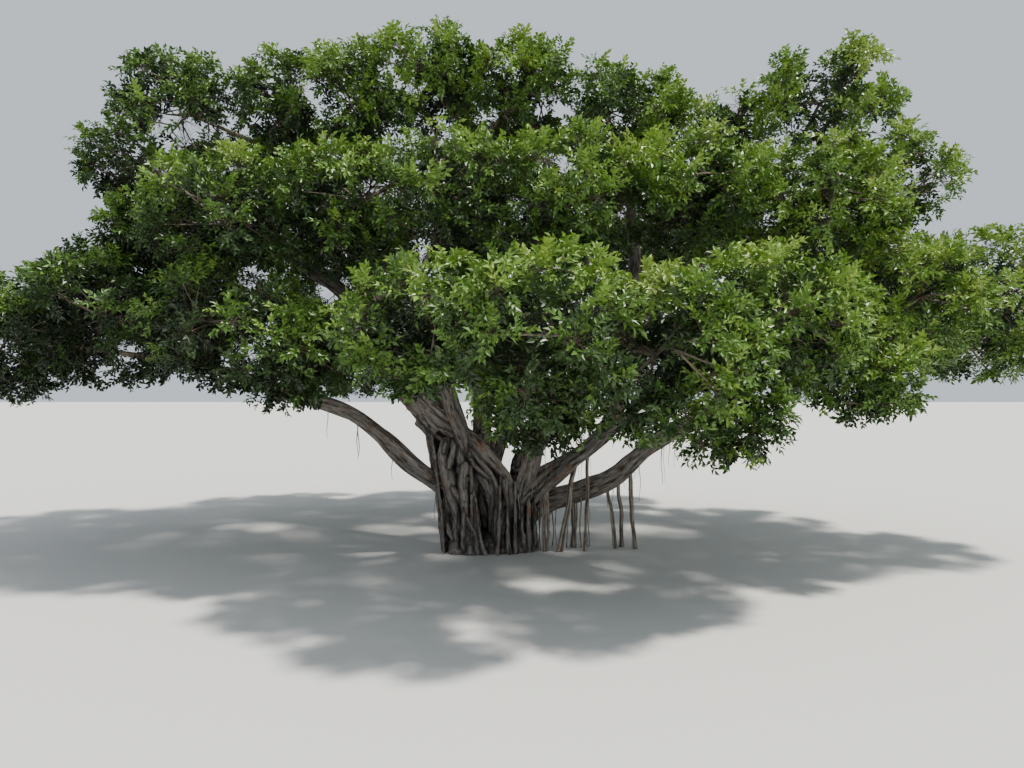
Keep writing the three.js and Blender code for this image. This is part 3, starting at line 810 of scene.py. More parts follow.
def even_directions(count: int, turns: Array, lifts: Array) -> Array:
    """Directions spread over a sphere by the golden angle, each turned and lifted a little.

    Args:
        count: how many directions there are.
        turns: how far each is turned, in nudges.
        lifts: how far each is lifted, in nudges.

    Returns:
        Unit vectors, count by 3.
    """
    k = np.arange(count)
    height = 1 - 2 * (k + 0.5) / count
    turn = GOLDEN_ANGLE * k + NUDGE * math.pi * turns
    flat = np.sqrt(1 - height ** 2)
    return unit(np.stack([np.cos(turn) * flat, np.sin(turn) * flat, height + NUDGE * lifts], axis=1))


def ripples(points: Array, wavelength: float, random: Random, upright: float = 0.35) -> Array:
    """A smooth random value at each point, mostly from -1 to 1, made of waves in random directions.

    It is the sum of their sines divided by the root of their number.

    Args:
        points: the points, n by 3.
        wavelength: the waves' mean length in metres.
        random: the source of the waves' directions and phases.
        upright: how much the waves are drawn out along Z.

    Returns:
        The value at each point.
    """
    ways = unit(random.normal(size=(RIPPLES, 3))) * np.array([1, 1, upright])
    pitch = FULL_TURN / (wavelength * random.uniform(0.6, 1.6, RIPPLES))
    phases = random.uniform(0, FULL_TURN, RIPPLES)
    return np.sin(points @ (ways * pitch[:, None]).T + phases).sum(axis=1) / math.sqrt(RIPPLES)


def bends(along: Array, phases: Array, waves: Sequence[float], sizes: Sequence[float]) -> Array:
    """Small bends of a limb: the sum of its waves' sines times their sizes, for each row of phases."""
    return (np.sin(along[:, None, None] * np.array(waves) + phases) * np.array(sizes)).sum(axis=2)


def bundle(path: Array, radii: Array, layer: Layer, random: Random) -> Strands:
    """Strands that run along a limb's rim, each wandering round it.

    A strand's angle is its own start plus three slow waves along the limb. Its middle lies at the layer's
    depth, and its radius is a share of the limb's with a slow swelling.

    Args:
        path: the limb's middle line, samples by 3.
        radii: the limb's radius at each sample.
        layer: the layer that the strands make up.
        random: the source of the strands' differences.

    Returns:
        The strands.
    """
    count = layer.count
    along = np.linspace(0, 1, len(path))
    length = steps(path).sum()
    waves = np.arange(1, 4)
    phases = random.uniform(0, FULL_TURN, (count, 3))
    turns = np.sin(along[None, :, None] * waves * WANDER_WAVE * length + phases[:, None, :])
    start = FULL_TURN * (np.arange(count) + START_SWING * random.normal(size=count)) / count
    angles = start[:, None] + (turns * WANDER / waves).sum(axis=2)
    _, first, second = frames(path[None])
    swelling = 1 + THICKNESS_SWING * np.sin(along[None] * THICKNESS_WAVE * length + phases[:, :1] * 3)
    own = random.uniform(*layer.shares, (count, 1)) * swelling
    depth = layer.depth + DEPTH_SWING * np.sin(along[None] * DEPTH_WAVE * length + phases[:, 1:2])
    rim = np.cos(angles)[..., None] * first + np.sin(angles)[..., None] * second
    return path[None] + rim * (depth * radii)[..., None], own * radii, layer.sides


def straightened(points: Array, middles: Array, axes: Sequence[Array], travelled: Array) -> Array:
    """Places in the space of a limb drawn straight: across it in two ways, and then along it.

    Args:
        points: the points, n by 3.
        middles: a point of the middle line beside each of them, n by 3.
        axes: there, the limb's own way and two ways across it, each n by 3.
        travelled: how far along the limb each of the middles lies.

    Returns:
        The places, n by 3.
    """
    away = points - middles
    onward, across, over = ((away * axis).sum(axis=1) for axis in axes)
    return np.stack([across, over, travelled + onward], axis=1)


def rope(line: Array, radii: Array, layer: Layer, random: Random, core: float, core_sides: int,
         swell: Array | None = None) -> tuple[Array, Array, Array, Array]:
    """A limb of grown-together strands: a core with strands wandering along it.

    Args:
        line: the limb's middle line, samples by 3.
        radii: the limb's radius at each sample.
        layer: the layer that the strands make up.
        random: the source of the strands' differences.
        core: the core's share of the radius.
        core_sides: how many sides the core has.
        swell: a factor for each point of the core's rings, samples by sides.

    Returns:
        Points, triangles, each point's ridge value, by its distance from the middle line, and its place in
        the space of the limb drawn straight.
    """
    last = len(line) - 1
    strands = bundle(line, radii, layer, random)
    ribs = None if swell is None else swell[None]
    points, faces = joined([sweep(line[None], radii[None] * core, core_sides, ribs), sweep(*strands)])
    rings = [np.append(np.repeat(np.arange(last + 1), n), [0, last]) for n in (core_sides, layer.sides)]
    rows = np.concatenate([rings[0], np.tile(rings[1], layer.count)])
    away = np.linalg.norm(points - line[rows], axis=1) / radii[rows]
    axes = [axis[0, rows] for axis in frames(line[None])]
    place = straightened(points, line[rows], axes, running(steps(line))[rows])
    return points, faces, np.clip((away - FLUTE_FLOOR) / FLUTE_SPAN, 0, 1), place


def stem_line(stem: Stem, samples: int) -> tuple[Array, Array]:
    """The middle line of a stem and its radius at each sample, flared towards the foot.

    Args:
        stem: the stem or root.
        samples: how many points the line has.

    Returns:
        The points, samples by 3, and the radii.
    """
    along = np.linspace(0, 1, samples)
    foot, head = np.array(stem.foot, float), np.array(stem.head, float)
    radii = stem.radii[0] + (stem.radii[1] - stem.radii[0]) * along
    return foot + (head - foot) * along[:, None], radii * (1 + stem.flare * np.exp(-along / FLARE_SPAN))


def bough_line(limb: Limb, step: float, back: float) -> tuple[Array, Array]:
    """The middle line of a bough, carried back into the trunk, and its radius at each sample.

    Args:
        limb: the bough.
        step: the distance between samples in metres.
        back: how far the line starts behind the bough's first point.

    Returns:
        The points, n by 3, and the radii.
    """
    route = np.array(limb.route, float)
    length = steps(smooth_route(route, LENGTH_SAMPLES)).sum()
    rows = max(8, round(length / step))
    line = smooth_route(route, rows)
    extra = max(1, round(back / step))
    inwards = unit(line[0] - line[1])
    lead = line[0] + inwards * (np.arange(extra, 0, -1)[:, None] * back / extra)
    radii = np.linspace(*limb.radii, rows)
    return np.vstack([lead, line]), np.concatenate([np.full(extra, limb.radii[0]), radii])


def tip_of(limb: Limb) -> tuple[Array, Array]:
    """The middle of a bough's tip and the way in which the bough ends."""
    line = smooth_route(np.array(limb.route, float), TIP_SAMPLES)
    return line[-1], unit(line[-1] - line[-2])


@dataclass(frozen=True)
class Shoot:
    """A mass's own stem: the mass's number, its seed, its seat on the bough's tip, and its first lead."""

    mass: int
    seed: int
    seat: Array
    lead: Array


def all_shoots() -> list[Shoot]:
    """The stems of all masses, in the source's order, which also gives each mass its seed.

    A bough's stems are seated round the middle of its tip at equal angles, in the order in which their masses
    lie round the bough's way.

    Returns:
        The stems.
    """
    shoots = []
    for bough in BOUGHS:
        point, way = tip_of(bough)
        side = unit(np.cross(way, UP))
        up = np.cross(side, way)
        carried = [i for i, mass in enumerate(MASSES) if mass.bough == bough.name]
        towards = {i: np.array(MASSES[i].centre) - point for i in carried}
        angles = {i: math.atan2(towards[i] @ up, towards[i] @ side) for i in carried}
        carried.sort(key=lambda i: angles[i])
        pitch = FULL_TURN / len(carried)
        first = sum(angles[i] - k * pitch for k, i in enumerate(carried)) / len(carried)
        for k, i in enumerate(carried):
            angle = first + k * pitch
            rim = math.cos(angle) * side + math.sin(angle) * up
            seat = point + rim * bough.radii[1] * SHOOT_SEAT_SHARE
            shoots.append(Shoot(i, len(shoots) + 1, seat, seat + way * SHOOT_LEAD))
    return shoots


def set_bark(piece: bpy.types.Object, ridge: Array, straight: Array) -> None:
    """Stores what the bark follows.

    Args:
        piece: the piece.
        ridge: how far each point stands out of its surroundings, from 0 in a flute to 1 on a ridge; the bark
            paints shade where it is low.
        straight: each point's place in the space of its limb drawn straight, n by 3.
    """
    layer = piece.data.attributes.new("ridge", "FLOAT", "POINT")
    layer.data.foreach_set("value", np.ascontiguousarray(ridge, np.float32))
    layer = piece.data.attributes.new("straight", "FLOAT_VECTOR", "POINT")
    layer.data.foreach_set("vector", np.ascontiguousarray(straight, np.float32).ravel())


@dataclass
class Trunk:
    """The trunk: stems and aerial roots grown together into one fluted skin, with the boughs' collars."""

    voxel: float = 0.0275  # metres, as the other lengths are
    samples: int = 44
    healing: float = 0.3  # length over which a stem's head is rounded off
    collar_samples: int = 26
    lumps: float = 0.012
    lump_lengths: tuple[float, float] = (0.22, 0.09)
    # The ridge value sets where the bark paints shade: in the skin's hollows and at the seams between
    # strands.
    relief: float = 0.03  # height above the evened skin by which the ridge value grows by 1
    level: float = 0.42  # the ridge value at the evened skin
    painted_seam_shade: float = 0.2  # the greatest ridge value where two strands meet, so that the bark paints a crease of shade there
    seed: int = 11
    piece: bpy.types.Object | None = None
    MOUND = ((-0.03, 0.86), (0.08, 0.83), (0.18, 0.77), (0.27, 0.67), (0.34, 0.52), (0.39, 0.32),
             (0.42, 0.08))  # the foot's heights and half widths

    def strands(self, random: Random) -> list[Strands]:
        """All strands and cores, which pass through each other.

        A stem's head is rounded off as healed wood is. In the healing length its radius is multiplied by the
        root of 1 less the square of how far the point lies above where the rounding starts.

        Args:
            random: the source of the strands' differences.

        Returns:
            The sets of strands.
        """
        parts = []
        for stem in TRUNK_STEMS:
            line, radii = stem_line(stem, self.samples)
            below_head = np.linspace(line[-1, 2], 0, self.samples)
            radii *= np.sqrt(1 - (1 - np.clip(below_head / self.healing, 0.02, 1)) ** 2)
            line[:, 2] -= BELOW_GROUND * (1 - np.linspace(0, 1, self.samples))
            parts += self.layered(line, radii, STEM_CORE, STEM_LAYERS, random)
        for limb in TRUNK_LIMBS:
            line = smooth_route(np.array(limb.route, float), self.samples)
            radii = np.linspace(*limb.radii, self.samples)
            parts += self.layered(line, radii, LIMB_CORE, LIMB_LAYERS, random)
        parts += [self.collar(bough, random) for bough in BOUGHS]
        return parts + [self.buttresses(random), self.curtain(random)]

    @staticmethod
    def layered(line: Array, radii: Array, core: float, layers: Sequence[Layer],
                random: Random) -> list[Strands]:
        """The core of a stem or limb, and the layers of strands round it."""
        middle = (line[None], radii[None] * core, TRUNK_CORE_SIDES)
        return [middle] + [bundle(line, radii, layer, random) for layer in layers]

    def collar(self, bough: Limb, random: Random) -> Strands:
        """Strands that run out of the trunk along a bough, and grow finer and closer to it on the way.

        With a fade that goes from 1 to 0 along the bough, they follow its radius times (0.86 plus 0.14 times
        the fade), and their own radii are multiplied by 0.35 plus 0.65 times the fade.

        Args:
            bough: the bough.
            random: the source of the strands' differences.

        Returns:
            The strands.
        """
        line, radii = bough_line(bough, COLLAR_STEP, TRUNK_LEAD)
        fade = np.linspace(1, 0, self.collar_samples) ** 0.6
        reach = radii[:self.collar_samples] * (0.86 + 0.14 * fade)
        paths, own, sides = bundle(line[:self.collar_samples], reach, COLLAR_LAYER, random)
        return paths, own * (0.35 + 0.65 * fade), sides

    def curtain(self, random: Random) -> Strands:
        """Roots that dropped from the left arch and closed round the left stem: spread above, gathered below.

        Args:
            random: the source of the roots' differences.

        Returns:
            The roots.
        """
        count, samples, sides = 14, 26, 8
        share = random.permutation(count) / (count - 1)
        start = np.column_stack([-1.6 + 0.75 * share, random.uniform(-0.32, 0.1, count), 3.1 - 0.5 * share])
        low = np.full(count, -BELOW_GROUND)
        foot = np.column_stack([-1.13 + 0.3 * share, start[:, 1] * 1.2 - 0.05, low])
        middle = np.column_stack([0.3 * start[:, 0] + 0.7 * foot[:, 0], start[:, 1], np.full(count, 1.5)])
        radii = random.uniform(0.03, 0.062, (count, 1)) * np.ones(samples)
        return curl(start, middle, foot, samples), radii, sides

    def buttresses(self, random: Random) -> Strands:
        """Loose roots that lean in from the foot's rim and run up the stems, each along a curved line.

        Args:
            random: the source of the roots' differences.

        Returns:
            The roots.
        """
        count, samples, sides = 26, 24, 9
        turn = FULL_TURN * (np.arange(count) + random.uniform(-0.3, 0.3, count)) / count
        low = np.full(count, -BELOW_GROUND)
        rim = np.stack([-0.03 + 1.02 * np.cos(turn), 0.05 + 0.72 * np.sin(turn), low], 1)
        stems = np.array([0.5 * (np.array(stem.foot) + np.array(stem.head)) for stem in TRUNK_STEMS])[:, :2]
        nearest = np.argmin(np.linalg.norm(rim[:, None, :2] - stems[None], axis=2), axis=1)
        outwards = unit(rim[:, :2] - stems[nearest])
        radius = np.array([stem.radii[1] for stem in TRUNK_STEMS])[nearest]
        head = stems[nearest] + outwards * radius[:, None] * 0.95
        top = np.column_stack([head, random.uniform(0.8, 1.9, count)])
        knee = np.column_stack([head + outwards * 0.05, top[:, 2] * 0.3])
        paths = curl(rim, knee, top, samples)
        return paths, random.uniform(0.05, 0.095, (count, 1)) * np.linspace(1, 0.45, samples), sides

    def base(self) -> Surface:
        """The fused foot: a low mound with five lobes between the stems, wider than deep.

        Its half width is multiplied by the root of the squares of 0.68 times the cosine and of the sine, and
        by 1 plus 0.07 times the cosine of five times the angle.

        Returns:
            The mound's surface.
        """
        sides = 40
        turn = ring(sides)
        heights, reach = np.array(self.MOUND).T
        line = np.column_stack([np.full(len(heights), -0.06), np.full(len(heights), 0.06), heights])
        swell = np.sqrt((np.cos(turn) * 0.68) ** 2 + np.sin(turn) ** 2) * (1 + 0.07 * np.cos(5 * turn))
        return sweep(line[None], reach[None], sides, swell[None, None] * np.ones((1, len(heights), 1)))

    def fuse(self, surface: Surface) -> tuple[Array, Array, Array]:
        """Fuses surfaces that pass through each other into one skin of small four-sided faces.

        Args:
            surface: all the surfaces in one.

        Returns:
            The skin's points, n by 3, its edges, m by 2, and its faces, k by 4, as point numbers.
        """
        raw = new_piece("trunk_raw", *surface, smooth=False)
        remesh = raw.modifiers.new("fuse", "REMESH")
        remesh.mode, remesh.voxel_size, remesh.adaptivity = "VOXEL", self.voxel, 0.0
        bpy.context.view_layer.update()
        fused = raw.evaluated_get(bpy.context.evaluated_depsgraph_get()).to_mesh()
        points = np.empty(len(fused.vertices) * 3, np.float32)
        fused.vertices.foreach_get("co", points)
        edges = np.empty(len(fused.edges) * 2, np.int32)
        fused.edges.foreach_get("vertices", edges)
        corners = np.empty(len(fused.loops), np.int32)
        fused.loops.foreach_get("vertex_index", corners)
        bpy.data.objects.remove(raw)
        return points.reshape(-1, 3).astype(float), edges.reshape(-1, 2), corners.reshape(-1, 4)

    def build(self) -> None:
        """Fuses all strands into one skin and gives it lumps and what the bark follows."""
        random = np.random.default_rng(self.seed)
        strands = self.strands(random)
        points, edges, faces = self.fuse(joined([*(sweep(*strand) for strand in strands), self.base()]))
        points = even_out(points, edges, 1)
        normals = point_normals(points, faces)
        height = ((points - even_out(points, edges, 14)) * normals).sum(axis=1)
        long, short = (0.5 * ripples(points, wavelength, random) for wavelength in self.lump_lengths)
        points += normals * (self.lumps * (long + short))[:, None]
        points[:, 2] = np.maximum(points[:, 2], 0)
        self.piece = new_piece("trunk_skin", points, faces, smooth=True)
        place, strand = along_strands(points, strands)
        # The ridge value gives the bark's painted shade in hollows, and its cap at the seams a painted crease
        # where strands meet.
        ridge = np.clip(self.level + height / self.relief, 0, 1)
        seams = edges[strand[edges[:, 0]] != strand[edges[:, 1]]].ravel()
        ridge[seams] = np.minimum(ridge[seams], self.painted_seam_shade)
        set_bark(self.piece, even_out(ridge[:, None], edges, 1)[:, 0], place)

    def dress(self) -> None:
        """Gives the skin its bark, and puts it in place of the source's trunk."""
        hand_over(self.piece, TRUNK_BARK.material(), ["trunk"])


def along_strands(points: Array, strands: Sequence[Strands]) -> tuple[Array, Array]:
    """Each point's place in the space, drawn straight, of the strand whose skin is nearest.

    Skin and point are as far apart as the point lies from the strand's middle, less the strand's radius. Each
    strand is moved across by its own amount, so that no two have the same pattern.

    Args:
        points: the points, n by 3.
        strands: the sets of strands.

    Returns:
        The places, n by 3, and the numbers of the strands.
    """
    middles = np.concatenate([paths.reshape(-1, 3) for paths, _, _ in strands])
    reach = np.concatenate([radii.ravel() for _, radii, _ in strands]).astype(np.float32)
    sets = [frames(paths) for paths, _, _ in strands]
    axes = [np.concatenate([own[k].reshape(-1, 3) for own in sets]) for k in range(3)]
    travelled = np.concatenate([np.cumsum(np.linalg.norm(np.gradient(paths, axis=1), axis=2), axis=1).ravel()
                                for paths, _, _ in strands])
    lengths = np.concatenate([np.full(len(paths), paths.shape[1]) for paths, _, _ in strands])
    numbers = np.repeat(np.arange(len(lengths)), lengths)
    guide = middles.astype(np.float32)
    squares = (guide ** 2).sum(axis=1)
    nearest = []
    for block in np.array_split(points.astype(np.float32), 48):
        gaps = (block ** 2).sum(axis=1)[:, None] + squares - 2 * block @ guide.T
        nearest.append(np.argmin(np.sqrt(np.maximum(gaps, 0)) - reach, axis=1))
    own = np.concatenate(nearest)
    places = straightened(points, middles[own], [axis[own] for axis in axes], travelled[own])
    places[:, 0] += STRAND_SHIFT * numbers[own]
    return places, numbers[own]


def even_out(points: Array, edges: Array, rounds: int) -> Array:
    """Moves each point, or value, to the mean of itself and its neighbours' mean, a number of times.

    Args:
        points: the points, n by 3, or values, n by 1.
        edges: the pairs of neighbours, m by 2.
        rounds: how many times.

    Returns:
        The moved points.
    """
    both = np.concatenate([edges, edges[:, ::-1]])
    count = np.bincount(both[:, 0], minlength=len(points))[:, None]
    moved = points.copy()
    for _ in range(rounds):
        total = np.stack([np.bincount(both[:, 0], column[both[:, 1]], len(points)) for column in moved.T], 1)
        moved = 0.5 * moved + 0.5 * total / np.maximum(count, 1)
    return moved


def point_normals(points: Array, faces: Array) -> Array:
    """Each point's normal: the sum of its faces' cross products, scaled to length 1.

    Args:
        points: the points, n by 3.
        faces: the faces' point numbers, m by 4.

    Returns:
        The normals, n by 3.
    """
    corners = points[faces]
    across = np.cross(corners[:, 2] - corners[:, 0], corners[:, -1] - corners[:, 1])
    total = np.stack([np.bincount(faces.ravel(), np.repeat(across[:, k], faces.shape[1]), len(points))
                      for k in range(3)], axis=1)
    return unit(total)


@dataclass
class Boughs:
    """The great boughs: fluted, stranded limbs that leave the trunk and carry the masses."""

    sides: int = 24
    step: float = 0.09  # metres between samples
    core: float = 0.88  # the core's share of the radius
    flute_depth: float = 0.14
    flute_level: float = 0.7
    seed: int = 23
    pieces: list[tuple[bpy.types.Object, str]] = field(default_factory=list)

    def build(self) -> None:
        """Sweeps each bough as a fluted core with strands that run along it."""
        random = np.random.default_rng(self.seed)
        for bough in BOUGHS:
            line, radii = bough_line(bough, self.step, TRUNK_LEAD)
            along = np.linspace(0, 1, len(line))
            line = line + self.wobble(along, random)
            swell = self.flutes(along, random)
            radii = radii * self.swelling(along, random)
            points, faces, *bark = rope(line, radii, BOUGH_LAYER, random, self.core, self.sides, swell)
            piece = new_piece(f"{bough.name}_limb", points, faces, smooth=True)
            set_bark(piece, *bark)
            self.pieces.append((piece, bough.name))

    def flutes(self, along: Array, random: Random) -> Array:
        """Flutes that wander round a bough: ridges with sharp valleys between them.

        The core's radius is multiplied by 1 plus the flutes' depth times (the root of the absolute cosine of
        half the wandering angle times the number of flutes, less their level).

        Args:
            along: each sample's share of the length.
            random: the source of the flutes' number and start.

        Returns:
            The factor at each point of the core's rings, samples by sides.
        """
        angles = ring(self.sides)
        count = int(random.integers(5, 8))
        drift = 0.5 * np.sin(along * 5 + random.uniform(0, 6)) + 0.25 * np.sin(along * 13 + 2)
        folds = np.abs(np.cos(0.5 * count * (angles[None] + drift[:, None] + 0.35 * np.sin(angles))))
        return 1 + self.flute_depth * (np.sqrt(folds) - self.flute_level)

    @staticmethod
    def wobble(along: Array, random: Random) -> Array:
        """Small bends of a bough, none at its two ends."""
        phases = random.uniform(0, FULL_TURN, (3, 2))
        return bends(along, phases, (9.0, 17.0), (0.05, 0.025)) * np.sin(math.pi * along)[:, None] ** 0.7

    @staticmethod
    def swelling(along: Array, random: Random) -> Array:
        """Slow changes of a bough's thickness along its length."""
        return 1 + 0.05 * np.sin(along * 11 + random.uniform(0, 6)) + 0.03 * np.sin(along * 23 + 1)

    def dress(self) -> None:
        """Gives each bough the bark and puts it in place of the source's."""
        bark = TRUNK_BARK.material()
        for piece, node in self.pieces:
            hand_over(piece, bark, [node])


@dataclass
class PropRoots:
    """The prop roots: thin stems that grew down from the boughs and rooted, each with fine strands."""

    samples: int = 60
    sides: int = 12
    core: float = 0.8
    overrun: float = 0.06  # metres that a head runs up into its bough
    seed: int = 31
    pieces: list[tuple[bpy.types.Object, str]] = field(default_factory=list)

    def build(self) -> None:
        """Sweeps each root with its strands, slightly bent, with its head run up into the bough."""
        random = np.random.default_rng(self.seed)
        along = np.linspace(0, 1, self.samples)
        for root in PROP_ROOTS:
            line, radii = stem_line(root, self.samples)
            moved = bends(along, random.uniform(0, 6, (2, 2)), (7.0, 15.0), (0.022, 0.009))
            line[:, :2] += moved * np.sin(math.pi * along)[:, None]
            line[-1, 2] += self.overrun
            points, faces, *bark = rope(line, radii, PROP_LAYER, random, self.core, self.sides)
            points[:, 2] = np.maximum(points[:, 2], 0)
            piece = new_piece(f"{root.name}_strands", points, faces, smooth=True)
            set_bark(piece, *bark)
            self.pieces.append((piece, root.name))

    def dress(self) -> None:
        """Gives each root its paler bark and puts it in place of the source's."""
        bark = ROOT_BARK.material()
        for piece, node in self.pieces:
            hand_over(piece, bark, [node])


@dataclass
class HangingRoots:
    """Fine aerial roots: some hang free under the low boughs, others reach the ground beside the trunk."""

    samples: int = 14
    sides: int = 5
    step: float = 0.05  # metres between samples of the bough
    bend: float = 0.03
    seed: int = 47
    piece: bpy.types.Object | None = None
    CARRIERS = (("left_low_bough", 5, RootEnd.FREE), ("right_low_bough", 14, RootEnd.FREE),
                ("centre_right_bough", 10, RootEnd.FREE), ("front_right_bough", 6, RootEnd.FREE),
                ("great_left_bough", 3, RootEnd.FREE), ("right_low_bough", 9, RootEnd.GROUND),
                ("right_front_bough", 7, RootEnd.GROUND))

    def hang(self, name: str, count: int, end: RootEnd, random: Random) -> Surface:
        """Roots that start under a bough and run down, with slow bends that grow towards the lower end.

        Args:
            name: the bough's name.
            count: how many roots there are.
            end: how they end.
            random: the source of their places and bends.

        Returns:
            The roots' surface.
        """
        span, thickness, taper = end.value
        line, radii = bough_line(next(bough for bough in BOUGHS if bough.name == name), self.step, self.step)
        rows = (random.uniform(*span, count) * (len(line) - 1)).astype(int)
        side = unit(np.cross(line[rows] - line[rows - 1], UP))
        start = line[rows] + side * radii[rows, None] * random.uniform(-0.6, 0.6, (count, 1))
        start[:, 2] -= radii[rows] * 0.6
        drop = start[:, 2]
        if end is RootEnd.FREE:
            drop = np.minimum(drop - 0.2, random.uniform(0.25, 0.9, count))
        t = np.linspace(0, 1, self.samples)
        paths = start[:, None, :] - UP * (drop[:, None] * t)[..., None]
        phases = random.uniform(0, 6, (count, 1, 2))
        bent = np.sin(t[None, :, None] * 6 + phases) - np.sin(phases)
        paths[..., :2] += self.bend * bent * t[None, :, None]
        return sweep(paths, random.uniform(*thickness, (count, 1)) * (1 - taper * t), self.sides)

    def build(self) -> None:
        """Sweeps all the fine roots into one piece."""
        random = np.random.default_rng(self.seed)
        points, faces = joined([self.hang(*carrier, random) for carrier in self.CARRIERS])
        points[:, 2] = np.maximum(points[:, 2], 0)
        self.piece = new_piece("fine_aerial_roots", points, faces, smooth=True)
        set_bark(self.piece, np.full(len(points), 0.8), points)

    def dress(self) -> None:
        """Gives the fine roots their bark."""
        hand_over(self.piece, ROOT_BARK.material())


@dataclass(frozen=True)
class Spray:
    """The leaves of a twig's end in its own frame: it runs along X for a length of 1, its upper side is Z."""

    leaves: Array

    @classmethod
    def grow(cls, random: Random, count: int) -> "Spray":
        """Sets leaves along the twig, turned round it by the golden angle and flattened towards its sides.

        A leaf's four points are its root, its widest place on the right, its tip and its widest place on the
        left. It is folded on its midrib, and its tip bends down.

        Args:
            random: the source of the leaves' differences.
            count: how many leaves there are.

        Returns:
            The spray.
        """
        k = np.arange(count)
        at = 0.04 + 0.94 * (k + 0.5) / count
        turn = GOLDEN_ANGLE * k + random.uniform(0, 6)
        opening = np.radians(74 - 40 * at + random.uniform(-14, 14, count))
        side = np.stack([0 * at, np.cos(turn), 0.5 * np.sin(turn) + 0.1], 1)
        way = unit(np.cos(opening)[:, None] * np.array([1.0, 0, 0]) + np.sin(opening)[:, None] * unit(side))
        upper = unit(np.array([0.1, 0, 1.0]) + random.normal(scale=0.32, size=(count, 3)))
        across = unit(np.cross(upper, way))
        upper = np.cross(way, across)
        root = np.stack([at, 0 * at, 0 * at], 1)
        size = random.uniform(0.27, 0.36, count)[:, None]
        width = size * random.uniform(0.25, 0.31, (count, 1))
        points = [root + way * size * a + across * width * b + upper * (width * c if b else size * c)
                  for a, b, c in LEAF_POINTS]
        return cls(np.stack(points, axis=1))


